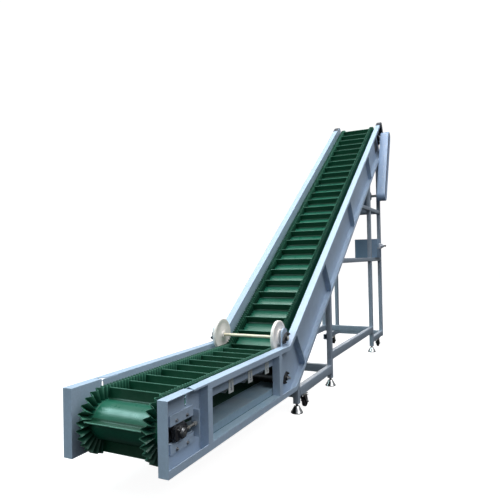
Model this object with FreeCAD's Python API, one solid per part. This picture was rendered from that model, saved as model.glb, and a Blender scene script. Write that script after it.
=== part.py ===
"""Mobile L-shaped belt conveyor: a low horizontal infeed, a knee and a 35 degree incline,
with a corrugated-sidewall belt with cleats, on a tube frame with castors and levelling feet.

Millimetres, +Z up.  +Y runs from the infeed towards the discharge end, +X is the side
that carries the chain guard and the control box.  All sizes below are given in a working
frame (x = 0 on the belt's centre line, y = 0 on the front face of the tail plates, z = 0 on
the floor); ORIGIN_X and ORIGIN_Y shift it so that the exported origin is the middle of the
footprint, on the floor.
"""
import FreeCAD
import Part
import math
import os

os.makedirs("parts", exist_ok=True)
V = FreeCAD.Vector

# ---------------------------------------------------------------- driving sizes
ANGLE = 35.0             # slope of the incline
KNEE_Y = 1695.0          # top corner of the side frames at the knee
FRAME_TOP = 598.0        # top of the infeed side frames
FRAME_BOT = 203.0        # underside of the infeed side frames
DEPTH = FRAME_TOP - FRAME_BOT
WEB_IN = 295.0           # inner face of the side webs
WEB_OUT = 300.0          # outer face of the side webs
FLANGE = 360.0           # outer edge of the side flanges
PLATE = 5.0              # plate thickness of the side frames
LIP_TOP = 40.0           # height of the turned lip of the top chord
WEB_TOP = 120.0          # height of the top chord's web over the window
LIP_BOT = 45.0           # height of the turned lip of the bottom chord
INC_LIP = 34.0           # height of the turned lips of the incline frames
TAIL_LEN = 243.0         # length of the tail plates' flanges
TAIL_WEB = 394.0         # the tail plates' webs run on behind the notch
POST1 = (395.0, 445.0)   # front window post, y range
POST2 = (1458.0, 1514.0)  # rear window post, y range
JOINT_S = 175.0          # bolted joint plates, distance up the incline
INC_END = 4800.0         # end of the incline's flanges
TIP_R = 70.0             # round nose of the side frames at the discharge end

# belt
BELT_T = 6.0
DRUM_R = 104.0
BELT_R = DRUM_R + BELT_T
WALL_H = 80.0            # height of the corrugated sidewalls
CLEAT_H = 68.0
BELT_HALF = 290.0        # half width of the base belt, with its free edges
WALL_IN = 198.0          # inner side of a sidewall
WALL_OUT = 242.0         # outer side of a sidewall
CLEAT_T = 6.0
TAIL_Y, TAIL_Z = 165.0, 390.0
HEAD_S = 4685.0
D_CARRY = TAIL_Z + BELT_R - FRAME_TOP     # carrying face below the frame's top edge
D_HEAD = D_CARRY - BELT_R                 # head drum centre below the frame's top edge
# cleats on the carrying runs: first one, spacing and how many, along y and along the slope
CLEATS_FLAT = {"first": 208.0, "pitch": 170.7, "count": 9}
CLEATS_HILL = {"first": -2.3, "pitch": 180.3, "count": 27}
CLEATS_TAIL = (78.5, 172.4)      # angles round the tail drum, from straight up
CLEATS_HEAD = (-93.9,)     # and round the head drum, from its carrying face
CLEATS_RETURN_FLAT = {"first": 331.0, "pitch": 180.3, "count": 8}
CLEATS_RETURN_HILL = {"first": 130.0, "pitch": 180.3, "count": 27}
# knee drum: carries the return run round the bend
KNEE_DRUM_R = 45.0
KNEE_DRUM_Y = 1702.0
KNEE_DRUM_Z = TAIL_Z - BELT_R + BELT_T + 0.5 + KNEE_DRUM_R

# support frame
TUBE = 50.0
WALL = 3.0
LEG_X = 333.0
FRONT_Y, MID_Y, R1_Y, R2_Y = 1875.0, 2841.0, 4774.0, 5425.0
LEG_BOT = 80.0
FOOT_R = 52.0
RAIL1 = (132.0, 212.0)
RAIL2 = (264.0, 344.0)
RAIL3 = (130.0, 200.0)
BOX_RAIL = (1238.0, 1288.0)
MOTOR_RAIL = (1930.0, 1980.0)

# press wheels
PRESS_Y, PRESS_Z = 1670.0, 662.0
PRESS_R = 137.0
PRESS_SHAFT = 13.0

# castors: swivel axis x, y and the side to which the wheel trails
CASTORS = [
    # name           x       y       trail
    ("front_right", 339.0, 2022.0, 36.0),
    ("front_left", -339.0, 2022.0, 36.0),
    ("rear_right", 328.0, 5165.0, 36.0),
    ("rear_left", -328.0, 5165.0, 36.0),
]
CASTOR_R = 46.0
CASTOR_Z = 52.5          # the wheel hangs just clear of the floor on the levelling feet
CASTOR_W = 32.0

A = math.radians(ANGLE)
TAN = math.tan(A)
COS = math.cos(A)
SIN = math.sin(A)
HALF = math.tan(A / 2.0)

# footprint of the whole machine in the working frame, and the exported origin in it
HANDLE_X = 490.0         # tip of the isolator's handle
FRAME_TAIL_D = -330.0    # lower corner of the side frames' discharge ends
BACK_Y = KNEE_Y + (INC_END + TIP_R) * COS - FRAME_TAIL_D * SIN
ORIGIN_X = (HANDLE_X - (LEG_X + FOOT_R)) / 2
ORIGIN_Y = (BACK_Y + TAIL_Y - BELT_R - WALL_H) / 2


# ---------------------------------------------------------------- helpers
def box(x0, x1, y0, y1, z0, z1):
    return Part.makeBox(x1 - x0, y1 - y0, z1 - z0, V(x0, y0, z0))


def cyl(p, d, r, h):
    return Part.makeCylinder(r, h, V(*p), V(*d))


def poly_yz(pts, x0, x1):
    """A plate whose outline lies in the YZ plane, from x0 to x1."""
    wire = Part.makePolygon([V(x0, y, z) for y, z in pts] + [V(x0, pts[0][0], pts[0][1])])
    return Part.Face(wire).extrude(V(x1 - x0, 0, 0))


def ramp(shape):
    """From incline coordinates (x, distance up the slope, height off the top edge)."""
    s = shape.copy()
    s.rotate(V(0, 0, 0), V(1, 0, 0), ANGLE)
    s.translate(V(0, KNEE_Y, FRAME_TOP))
    return s


def slope(s, d):
    """A point (s, d) of the incline as (y, z)."""
    return KNEE_Y + s * COS - d * SIN, FRAME_TOP + s * SIN + d * COS


def mirror(shape):
    return shape.mirror(V(0, 0, 0), V(1, 0, 0))


def both(shapes):
    return shapes + [mirror(s) for s in shapes]


def fuse(shapes):
    out = shapes[0]
    if len(shapes) > 1:
        out = out.fuse(shapes[1:])
    return out.removeSplitter()


def tube_x(x0, x1, y, z, w, h, t=WALL):
    return box(x0, x1, y - w / 2, y + w / 2, z - h / 2, z + h / 2).cut(
        box(x0 - 1, x1 + 1, y - w / 2 + t, y + w / 2 - t, z - h / 2 + t, z + h / 2 - t))


def tube_y(y0, y1, x, z, w, h, t=WALL):
    return box(x - w / 2, x + w / 2, y0, y1, z - h / 2, z + h / 2).cut(
        box(x - w / 2 + t, x + w / 2 - t, y0 - 1, y1 + 1, z - h / 2 + t, z + h / 2 - t))


def tube_z(z0, z1, x, y, w=TUBE, t=WALL):
    return box(x - w / 2, x + w / 2, y - w / 2, y + w / 2, z0, z1).cut(
        box(x - w / 2 + t, x + w / 2 - t, y - w / 2 + t, y + w / 2 - t, z0 - 1, z1 + 1))


NODES = {}


def node(name, shapes):
    if not isinstance(shapes, list):
        shapes = [shapes]
    comp = shapes[0] if len(shapes) == 1 else Part.makeCompound(shapes)
    comp = comp.copy()
    comp.translate(V(-ORIGIN_X, -ORIGIN_Y, 0))
    NODES[name] = comp


# ---------------------------------------------------------------- tail plates
def tail_plate():
    web = box(WEB_IN, WEB_OUT, PLATE, TAIL_WEB, FRAME_BOT, FRAME_TOP - 4)
    web = web.cut(box(WEB_IN - 1, WEB_OUT + 1, 84, 314, TAIL_Z - 44, TAIL_Z + 44))
    # open joint between the tail plate and the next web, from the guide plate to the flange
    web = web.cut(box(WEB_IN - 1, WEB_OUT + 1, TAIL_LEN, TAIL_LEN + 15, TAIL_Z + 106, FRAME_TOP))
    front = box(WEB_IN, FLANGE, 0, PLATE, FRAME_BOT, FRAME_TOP)
    top = box(WEB_IN, FLANGE, PLATE, TAIL_LEN, FRAME_TOP - PLATE, FRAME_TOP)
    return fuse([web, front, top])


node("tail_plate_right", tail_plate())
node("tail_plate_left", mirror(tail_plate()))

# ---------------------------------------------------------------- infeed side frames
# the chord's flange starts on a diagonal; its deep lip starts at the front post
def plan(pts, z0, z1):
    wire = Part.makePolygon([V(x, y, z0) for x, y in pts] + [V(pts[0][0], pts[0][1], z0)])
    return Part.Face(wire).extrude(V(0, 0, z1 - z0))


top_chord = [plan([(WEB_OUT, TAIL_LEN + 40), (FLANGE, TAIL_LEN + 4), (FLANGE, POST2[0]), (WEB_OUT, POST2[0])],
                  FRAME_TOP - PLATE, FRAME_TOP),
             box(FLANGE - PLATE, FLANGE, TAIL_LEN + 8, POST1[0] + 1, FRAME_TOP - 12, FRAME_TOP),
             box(FLANGE - PLATE, FLANGE, POST1[0], POST2[0], FRAME_TOP - LIP_TOP, FRAME_TOP),
             box(WEB_IN, WEB_OUT, TAIL_WEB, POST2[1], FRAME_TOP - WEB_TOP, FRAME_TOP)]
node("infeed_top_chords", both([fuse(top_chord)]))

KNEE_BOT_Y = KNEE_Y + DEPTH * HALF
bottom_chord = [box(WEB_OUT, FLANGE, PLATE, POST2[0], FRAME_BOT, FRAME_BOT + PLATE),
                box(FLANGE - PLATE, FLANGE, PLATE, POST2[0], FRAME_BOT, FRAME_BOT + LIP_BOT),
                box(WEB_IN, WEB_OUT, TAIL_WEB, POST2[1], FRAME_BOT, FRAME_BOT + LIP_BOT)]
node("infeed_bottom_chords", both([fuse(bottom_chord)]))

posts = []
for y0, y1 in (POST1, POST2):
    posts.append(fuse([
        box(WEB_OUT, FLANGE - PLATE, y0, y0 + PLATE, FRAME_BOT + PLATE, FRAME_TOP - PLATE),
        box(WEB_OUT, FLANGE - PLATE, y1 - PLATE, y1, FRAME_BOT + PLATE, FRAME_TOP - PLATE),
        box(FLANGE - PLATE, FLANGE, y0, y1, FRAME_BOT + LIP_BOT, FRAME_TOP - LIP_TOP)]))
posts[1] = posts[1].cut(box(WEB_OUT - 1, FLANGE + 1, POST2[0], POST2[1] + 1, FRAME_BOT - 1, FRAME_BOT + LIP_BOT))
posts[1] = posts[1].cut(box(WEB_OUT - 1, FLANGE + 1, POST2[0], POST2[1] + 1, FRAME_TOP - LIP_TOP, FRAME_TOP + 1))
node("infeed_window_posts", both(posts))

# knee frames: a web plate with top and bottom flanges that follow the bend
K0 = POST2[0]
ks = JOINT_S - 8.0


def knee():
    yt, zt = slope(ks, 0)
    yb, zb = slope(ks, -DEPTH)
    web = poly_yz([(POST2[1], FRAME_BOT), (KNEE_BOT_Y, FRAME_BOT), (yb, zb), (yt, zt),
                   (KNEE_Y, FRAME_TOP), (POST2[1], FRAME_TOP)], WEB_IN, WEB_OUT)
    web = web.cut(cyl((WEB_IN - 1, KNEE_DRUM_Y, KNEE_DRUM_Z), (1, 0, 0), 18, PLATE + 2))
    pieces = [web]
    ytp, ztp = slope(ks, -PLATE)
    yk = KNEE_Y + PLATE * HALF
    pieces.append(poly_yz([(K0, FRAME_TOP - PLATE), (yk, FRAME_TOP - PLATE), (ytp, ztp), (yt, zt),
                           (KNEE_Y, FRAME_TOP), (K0, FRAME_TOP)], WEB_OUT, FLANGE))
    yl, zl = slope(ks, -INC_LIP)
    pieces.append(poly_yz([(K0, FRAME_TOP - LIP_TOP), (KNEE_Y + INC_LIP * HALF, FRAME_TOP - INC_LIP), (yl, zl),
                           (yt, zt), (KNEE_Y, FRAME_TOP), (K0, FRAME_TOP)], FLANGE - PLATE, FLANGE))
    ybp, zbp = slope(ks, -DEPTH + PLATE)
    yk = KNEE_BOT_Y - PLATE * HALF
    pieces.append(poly_yz([(K0, FRAME_BOT), (KNEE_BOT_Y, FRAME_BOT), (yb, zb), (ybp, zbp),
                           (yk, FRAME_BOT + PLATE), (K0, FRAME_BOT + PLATE)], WEB_OUT, FLANGE))
    yl, zl = slope(ks, -DEPTH + INC_LIP)
    pieces.append(poly_yz([(K0, FRAME_BOT), (KNEE_BOT_Y, FRAME_BOT), (yb, zb), (yl, zl),
                           (KNEE_BOT_Y - INC_LIP * HALF, FRAME_BOT + INC_LIP + 4), (K0, FRAME_BOT + LIP_BOT)],
                          FLANGE - PLATE, FLANGE))
    return fuse(pieces)


node("knee_frames", both([knee()]))

# bolted joint plates across the channels, and stiffening ribs
jp = []
for s0 in (JOINT_S - 8, JOINT_S):
    jp.append(box(WEB_OUT, FLANGE - PLATE, s0, s0 + 8, -DEPTH + PLATE, -PLATE))
jp = ramp(fuse(jp))
node("joint_plates", both([jp]))

S0 = JOINT_S - 8.0
CHUTE_Y, CHUTE_Z, CHUTE_DZ = 5785.0, 3170.0, 80.0
RIBS = (1188.0, 2440.0, 3680.0)


def incline_frame(right):
    web = box(WEB_IN, WEB_OUT, S0, INC_END, -DEPTH, 0)
    # round nose at the discharge end
    nose = cyl((WEB_IN, INC_END, -TIP_R), (1, 0, 0), TIP_R, WEB_OUT - WEB_IN)
    lower = box(WEB_IN, WEB_OUT, INC_END - 1, INC_END + TIP_R, FRAME_TAIL_D, -TIP_R)
    web = web.fuse([nose, lower])
    if right:
        hole = [(4360, -330), (4585, -330), (4585, -250), (4600, -110), (4420, -110)]
        wire = Part.makePolygon([V(WEB_IN - 1, s, d) for s, d in hole + hole[:1]])
        web = web.cut(Part.Face(wire).extrude(V(PLATE + 2, 0, 0)))
    web = web.cut(cyl((WEB_IN - 1, HEAD_S, D_HEAD), (1, 0, 0), 34, PLATE + 2))
    parts = [web,
             box(WEB_OUT, FLANGE, S0, INC_END, -PLATE, 0),
             box(FLANGE - PLATE, FLANGE, S0, INC_END, -INC_LIP, 0),
             box(WEB_OUT, FLANGE, S0, INC_END - 110, -DEPTH, -DEPTH + PLATE),
             box(FLANGE - PLATE, FLANGE, S0, INC_END - 110, -DEPTH, -DEPTH + INC_LIP)]
    f = fuse(parts)
    f = f.cut(box(WEB_IN - 1, FLANGE + 1, INC_END - 110, INC_END + 200, -DEPTH - 1, -330))
    f = ramp(f)
    # two holes above each other take the discharge chute
    for dz in (-CHUTE_DZ / 2, CHUTE_DZ / 2):
        f = f.cut(cyl((WEB_IN - 1, CHUTE_Y, CHUTE_Z + dz), (1, 0, 0), 6.5, PLATE + 2))
    return f if right else mirror(f)


node("incline_frame_right", incline_frame(True))
node("incline_frame_left", incline_frame(False))

ribs = [ramp(box(WEB_OUT, FLANGE - PLATE, s - 4, s + 4, -DEPTH + PLATE, -PLATE)) for s in RIBS]
node("channel_ribs", both(ribs))

# discharge-end nose caps on the side frames: a round-topped outer plate
noses = []
nc = fuse([cyl((FLANGE - PLATE, INC_END, -TIP_R), (1, 0, 0), TIP_R, PLATE),
           box(FLANGE - PLATE, FLANGE, INC_END + 0.0, INC_END + TIP_R, -240, -TIP_R)])
nc = nc.cut(box(FLANGE - 10, FLANGE + 1, INC_END - 200, INC_END, -600, 10))
rim = fuse([box(WEB_OUT, FLANGE, INC_END + TIP_R - PLATE, INC_END + TIP_R, -240, -TIP_R),
            cyl((WEB_OUT, INC_END, -TIP_R), (1, 0, 0), TIP_R, FLANGE - WEB_OUT).cut(
                [cyl((WEB_OUT - 1, INC_END, -TIP_R), (1, 0, 0), TIP_R - PLATE, FLANGE),
                 box(WEB_OUT - 2, FLANGE + 2, INC_END - 200, INC_END, -400, 10),
                 box(WEB_OUT - 2, FLANGE + 2, INC_END - 200, INC_END + 200, -400, -TIP_R)])])
node("frame_end_caps", both([ramp(fuse([nc, rim]))]))

# ---------------------------------------------------------------- covers and ties
COVER_END = KNEE_DRUM_Y - KNEE_DRUM_R - 17.0
cover = [box(112, WEB_IN - 1, POST1[0], COVER_END, 296, 299),
         box(WEB_IN - 4, WEB_IN - 1, POST1[0], COVER_END, 252, 296)]
node("return_cover_sheets", both([fuse(cover), box(WEB_IN, FLANGE - 1, POST1[1], POST2[0], FRAME_BOT + LIP_BOT, FRAME_BOT + LIP_BOT + 3)]))

ties = []
for s in (620.0, 1500.0, 2400.0, 3300.0, 4150.0):
    ties.append(ramp(box(-WEB_IN, WEB_IN, s - 20, s + 20, -225, -195).cut(
        box(-WEB_IN - 1, WEB_IN + 1, s - 17, s + 17, -222, -198))))
ties.append(tube_x(-WEB_IN, WEB_IN, 420.0, 385.0, 40, 30))
node("frame_cross_ties", ties)

# ---------------------------------------------------------------- belt
Y_K = KNEE_Y - D_CARRY * HALF            # corner of the carrying face at the knee
carry_z = TAIL_Z + BELT_R
return_z = TAIL_Z - BELT_R
hy, hz = slope(HEAD_S, D_HEAD)           # head drum centre
# the sloping return run leaves the knee drum and meets the head drum as a tangent to both
KNEE_TURN_R = KNEE_DRUM_R + 0.5
span = math.hypot(hy - KNEE_DRUM_Y, hz - KNEE_DRUM_Z)
diff = BELT_R - KNEE_TURN_R - BELT_T
RETURN_A = math.degrees(math.atan2(hz - KNEE_DRUM_Z, hy - KNEE_DRUM_Y) - math.asin(diff / span))
RETURN_LEN = math.sqrt(span ** 2 - diff ** 2)


def strip(x0, x1, low, high):
    """A strip of belt along the flat and the slope, split at the knee corner.
    low and high are its lower and upper faces as heights off the frame's top edge."""
    flat = poly_yz([(TAIL_Y, FRAME_TOP + low), (KNEE_Y - low * HALF, FRAME_TOP + low),
                    (KNEE_Y - high * HALF, FRAME_TOP + high), (TAIL_Y, FRAME_TOP + high)], x0, x1)
    a, b = slope(HEAD_S, low), slope(HEAD_S, high)
    hill = poly_yz([(KNEE_Y - low * HALF, FRAME_TOP + low), a, b,
                    (KNEE_Y - high * HALF, FRAME_TOP + high)], x0, x1)
    return flat, hill


def back(shape):
    """From the sloping return run's coordinates (x, distance up from the knee drum, height
    off its outer face)."""
    s = shape.copy()
    s.translate(V(0, 0, -KNEE_TURN_R - BELT_T))
    s.rotate(V(0, 0, 0), V(1, 0, 0), RETURN_A)
    s.translate(V(0, KNEE_DRUM_Y, KNEE_DRUM_Z))
    return s


def turn(x0, x1, r0, r1, y, z, start, sweep):
    """Part of a ring about the X axis; angles run from straight up, towards the tail."""
    wire = Part.makePolygon([V(x0, 0, r0), V(x1, 0, r0), V(x1, 0, r1), V(x0, 0, r1), V(x0, 0, r0)])
    ring = Part.Face(wire).revolve(V(0, 0, 0), V(1, 0, 0), sweep)
    ring.rotate(V(0, 0, 0), V(1, 0, 0), start)
    ring.translate(V(0, y, z))
    return ring


def turns(x0, x1, low, high):
    """Tail, knee and head turns of a layer of the belt, low and high off its inner face."""
    return [turn(x0, x1, DRUM_R + low, DRUM_R + high, TAIL_Y, TAIL_Z, 0.0, 180.0),
            turn(x0, x1, KNEE_TURN_R + low, KNEE_TURN_R + high, KNEE_DRUM_Y, KNEE_DRUM_Z, 180.0, RETURN_A),
            turn(x0, x1, DRUM_R + low, DRUM_R + high, hy, hz, 180.0 + RETURN_A, 180.0 + ANGLE - RETURN_A)]


cf, ch = strip(-BELT_HALF, BELT_HALF, D_CARRY - BELT_T, D_CARRY)
node("belt_infeed_run", cf)
node("belt_incline_run", ch)
node("belt_return_infeed", box(-BELT_HALF, BELT_HALF, TAIL_Y, KNEE_DRUM_Y, return_z, return_z + BELT_T))
print("sloping return run", round(RETURN_A, 3), "deg", round(RETURN_LEN, 1), "mm")
node("belt_return_incline", back(box(-BELT_HALF, BELT_HALF, 0, RETURN_LEN, 0, BELT_T)))
node("belt_turns", turns(-BELT_HALF, BELT_HALF, 0, BELT_T))

walls = list(strip(WALL_IN, WALL_OUT, D_CARRY, D_CARRY + WALL_H))
walls += [box(WALL_IN, WALL_OUT, TAIL_Y, KNEE_DRUM_Y, return_z - WALL_H, return_z),
          back(box(WALL_IN, WALL_OUT, 0, RETURN_LEN, -WALL_H, 0))]
node("belt_sidewalls", both(walls))
node("belt_sidewall_turns", both(turns(WALL_IN, WALL_OUT, BELT_T, BELT_T + WALL_H)))

# cleats: cross plates between the sidewalls, at one pitch round the whole loop


def cleat_flat(y, up):
    if up:
        return box(-WALL_IN, WALL_IN, y - CLEAT_T / 2, y + CLEAT_T / 2, carry_z, carry_z + CLEAT_H)
    return box(-WALL_IN, WALL_IN, y - CLEAT_T / 2, y + CLEAT_T / 2, return_z - CLEAT_H, return_z)


def cleat_hill(s, up):
    if up:
        return ramp(box(-WALL_IN, WALL_IN, s - CLEAT_T / 2, s + CLEAT_T / 2, D_CARRY, D_CARRY + CLEAT_H))
    return back(box(-WALL_IN, WALL_IN, s - CLEAT_T / 2, s + CLEAT_T / 2, -CLEAT_H, 0))


def cleat_round(angle, at_tail):
    c = box(-WALL_IN, WALL_IN, -CLEAT_T / 2, CLEAT_T / 2, BELT_R, BELT_R + CLEAT_H)
    c.rotate(V(0, 0, 0), V(1, 0, 0), angle)
    if at_tail:
        c.translate(V(0, TAIL_Y, TAIL_Z))
        return c
    c.translate(V(0, HEAD_S, D_HEAD))
    return ramp(c)


def row(table):
    return [table["first"] + i * table["pitch"] for i in range(table["count"])]


up = [cleat_flat(y, True) for y in row(CLEATS_FLAT)] + [cleat_hill(s, True) for s in row(CLEATS_HILL)]
down = [cleat_flat(y, False) for y in row(CLEATS_RETURN_FLAT)] + [cleat_hill(s, False) for s in row(CLEATS_RETURN_HILL)]
node("belt_cleats", up + [cleat_round(a, True) for a in CLEATS_TAIL] + [cleat_round(a, False) for a in CLEATS_HEAD])
node("belt_return_cleats", down)

# ---------------------------------------------------------------- drums and rollers
def drum(y, z, shaft):
    d = cyl((-280, y, z), (1, 0, 0), DRUM_R - 0.5, 560)
    return fuse([d, cyl((-shaft, y, z), (1, 0, 0), 20, 2 * shaft)])


node("tail_drum", drum(TAIL_Y, TAIL_Z, 352))
node("head_drum", fuse([cyl((-280, hy, hz), (1, 0, 0), DRUM_R - 0.5, 560),
                        cyl((-352, hy, hz), (1, 0, 0), 22, 352 + 440)]))
kd_y, kd_z = KNEE_DRUM_Y, KNEE_DRUM_Z
node("knee_drum", fuse([cyl((-284, kd_y, kd_z), (1, 0, 0), KNEE_DRUM_R, 568), cyl((-350, kd_y, kd_z), (1, 0, 0), 11, 700)]))

ROLLER_R = 29.0
rollers, rbr = [], []
RY = [776.0, 1060.0, 1344.0]
RS = [330.0 + 290.0 * i for i in range(15)]
for y in RY:
    z = carry_z - BELT_T - 0.6 - ROLLER_R
    rollers.append(fuse([cyl((-262, y, z), (1, 0, 0), ROLLER_R, 524), cyl((-309, y, z), (1, 0, 0), 8, 618)]))
    # a slotted plate on the outside of the chord's web carries the roller's axle end
    b = box(WEB_OUT, WEB_OUT + 5, y - 32, y + 32, z - 22, FRAME_TOP - 46)
    b = b.cut(box(WEB_OUT - 1, WEB_OUT + 6, y - 8.05, y + 8.05, z, z + 44)).cut(cyl((WEB_OUT - 1, y, z), (1, 0, 0), 8.05, 7))
    rbr += both([b])
for s in RS:
    d = D_CARRY - BELT_T - 0.6 - ROLLER_R
    rollers.append(ramp(fuse([cyl((-262, s, d), (1, 0, 0), ROLLER_R, 524), cyl((-288, s, d), (1, 0, 0), 8, 576)])))
    b = box(270, 276, s - 22, s + 22, d - 42, d + 26).cut(cyl((265, s, d), (1, 0, 0), 8.05, 20))
    b = fuse([b, box(276, WEB_IN, s - 22, s + 22, d + 8, d + 14)])
    rbr += both([ramp(b)])
node("carrying_rollers", rollers)
node("roller_brackets", rbr)

# ---------------------------------------------------------------- tail take-up and bearings
rails = []
for z0, z1 in ((TAIL_Z + 44, TAIL_Z + 102), (TAIL_Z - 104, TAIL_Z - 46)):
    r = box(WEB_OUT, WEB_OUT + 12, 86, 312, z0, z1)
    for y in (150.0, 262.0):
        r = r.cut(cyl((WEB_OUT - 1, y, (z0 + z1) / 2), (1, 0, 0), 6.5, 14))
    rails.append(r)
node("takeup_brackets", both(rails + [fuse([box(WEB_OUT, WEB_OUT + 6, 316, 350, TAIL_Z - 76, TAIL_Z + 78),
                                        box(WEB_OUT + 6, WEB_OUT + 46, 316, 322, TAIL_Z - 76, TAIL_Z + 78)]).cut(
    cyl((WEB_OUT + 24, 300, TAIL_Z), (0, 1, 0), 8.5, 40))]))
bear = fuse([box(304, 332, TAIL_Y - 58, TAIL_Y + 52, TAIL_Z - 41, TAIL_Z + 41),
             cyl((332, TAIL_Y, TAIL_Z), (1, 0, 0), 34, 10)]).cut(cyl((300, TAIL_Y, TAIL_Z), (1, 0, 0), 20.05, 60))
node("takeup_bearings", both([bear]))
scr = fuse([cyl((WEB_OUT + 24, TAIL_Y + 52, TAIL_Z), (0, 1, 0), 8, 112),
            cyl((WEB_OUT + 24, 290, TAIL_Z), (0, 1, 0), 15, 14)])
node("takeup_screws", both([scr]))


def flange_bearing(y, z, r, shaft, x0=WEB_OUT, tilt=0.0):
    """A two-bolt oval bearing unit on the outside of a web."""
    a = 1.55 * r
    b = fuse([cyl((x0, y, z), (1, 0, 0), r, 14),
              cyl((x0, y, z + a), (1, 0, 0), 0.5 * r, 14), cyl((x0, y, z - a), (1, 0, 0), 0.5 * r, 14),
              box(x0, x0 + 14, y - 0.5 * r, y + 0.5 * r, z - a, z + a),
              cyl((x0, y, z), (1, 0, 0), 0.72 * r, 30)])
    b = b.cut(cyl((x0 - 1, y, z), (1, 0, 0), shaft + 0.05, 60))
    if tilt:
        b.rotate(V(x0, y, z), V(1, 0, 0), tilt)
    return b



# ---------------------------------------------------------------- press wheels at the knee
axle = cyl((-352, PRESS_Y, PRESS_Z), (1, 0, 0), PRESS_SHAFT, 704)
hubs = []
for sx in (1, -1):
    x0 = 248.0
    w = fuse([cyl((x0, PRESS_Y, PRESS_Z), (1, 0, 0), PRESS_R, 28), cyl((x0 + 28, PRESS_Y, PRESS_Z), (1, 0, 0), 66, 12),
              cyl((x0 - 12, PRESS_Y, PRESS_Z), (1, 0, 0), 30, 12)])
    w = w.cut(cyl((x0 - 20, PRESS_Y, PRESS_Z), (1, 0, 0), PRESS_SHAFT, 90))
    hubs.append(w if sx > 0 else mirror(w))
node("press_axle", axle)
node("press_wheels", hubs)
br = fuse([box(308, 320, PRESS_Y - 60, PRESS_Y + 60, FRAME_TOP, PRESS_Z + 20),
           cyl((308, PRESS_Y, PRESS_Z + 20), (1, 0, 0), 60, 12)])
br = br.cut(cyl((300, PRESS_Y, PRESS_Z), (1, 0, 0), PRESS_SHAFT + 3, 40))
br = br.cut(ramp(box(290, 330, 0.0, 300, -300, 0)))
node("press_brackets", both([br]))
node("flange_bearings", both([flange_bearing(kd_y, kd_z, 27, 11, tilt=-42.0), flange_bearing(hy, hz, 48, 22, tilt=ANGLE),
                              flange_bearing(PRESS_Y, PRESS_Z, 32, PRESS_SHAFT, x0=320, tilt=-58.0)]))

# ---------------------------------------------------------------- support frame
def under(y):
    """Height of the incline frame's underside at y."""
    return FRAME_TOP + (y - KNEE_Y) * TAN - DEPTH / COS


def leg(y, z0=LEG_BOT):
    lo, hi = under(y - TUBE / 2), under(y + TUBE / 2)
    t = tube_z(z0, hi + 10, LEG_X, y)
    cut = poly_yz([(y - TUBE, under(y - TUBE)), (y + TUBE, under(y + TUBE)), (y + TUBE, hi + 60),
                   (y - TUBE, hi + 60)], LEG_X - 60, LEG_X + 60)
    return t.cut(cut)


node("front_legs", both([leg(FRONT_Y)]))
node("mid_legs", both([leg(MID_Y)]))
node("rear_posts", [leg(R1_Y), mirror(leg(R1_Y, RAIL2[0]))] + both([leg(R2_Y, RAIL3[0])]))


def rail_y(y0, y1, zz, x=LEG_X):
    return tube_y(y0, y1, x, (zz[0] + zz[1]) / 2, TUBE, zz[1] - zz[0])


def rail_x(y, zz, half=LEG_X - TUBE / 2):
    return tube_x(-half, half, y, (zz[0] + zz[1]) / 2, TUBE, zz[1] - zz[0])


h2 = TUBE / 2
node("lower_side_rails", both([rail_y(FRONT_Y + h2, MID_Y - h2, RAIL1), rail_y(MID_Y + h2, R1_Y - h2, RAIL2),
                               rail_y(R1_Y + h2, R2_Y - h2, RAIL3)]))
node("base_cross_rails", [rail_x(FRONT_Y, RAIL1), rail_x(MID_Y, RAIL1), rail_x(R1_Y, RAIL2), rail_x(R2_Y, RAIL3)])


def y_under(z):
    return KNEE_Y + (z - FRAME_TOP + DEPTH / COS) / TAN


def high_rail(zz):
    """A side rail that starts under the incline and runs back to a post."""
    r = rail_y(y_under(zz[1]) - 90, R1_Y - h2, zz)
    cut = poly_yz([(y_under(zz[0] - 60), zz[0] - 60), (y_under(zz[1] + 60), zz[1] + 60),
                   (y_under(zz[0] - 60) - 400, zz[1] + 60), (y_under(zz[0] - 60) - 400, zz[0] - 60)], LEG_X - 60, LEG_X + 60)
    return r.cut(cut)


node("upper_side_rails", both([high_rail(BOX_RAIL), high_rail(MOTOR_RAIL),
                               rail_y(R1_Y + h2, R2_Y - h2, BOX_RAIL), rail_y(R1_Y + h2, R2_Y - h2, MOTOR_RAIL)]))
node("upper_cross_rails", [rail_x(5160.0, BOX_RAIL), rail_x(5120.0, MOTOR_RAIL), rail_x(5340.0, MOTOR_RAIL)])

feet = []
for x, y in ((LEG_X, FRONT_Y), (-LEG_X, FRONT_Y), (LEG_X, MID_Y), (-LEG_X, MID_Y), (LEG_X, R1_Y)):
    prof = [(0, 0), (50, 0), (FOOT_R, 3), (FOOT_R, 8), (49, 12), (24.5, 55), (19, 62), (10, 64), (10, LEG_BOT), (21.5, LEG_BOT), (21.5, LEG_BOT + 14), (0, LEG_BOT + 14)]
    w = Part.makePolygon([V(r, 0, z) for r, z in prof] + [V(0, 0, 0)])
    f = Part.Face(w).revolve(V(0, 0, 0), V(0, 0, 1), 360)
    f.translate(V(x, y, 0))
    feet.append(f)
node("levelling_feet", feet)

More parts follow.
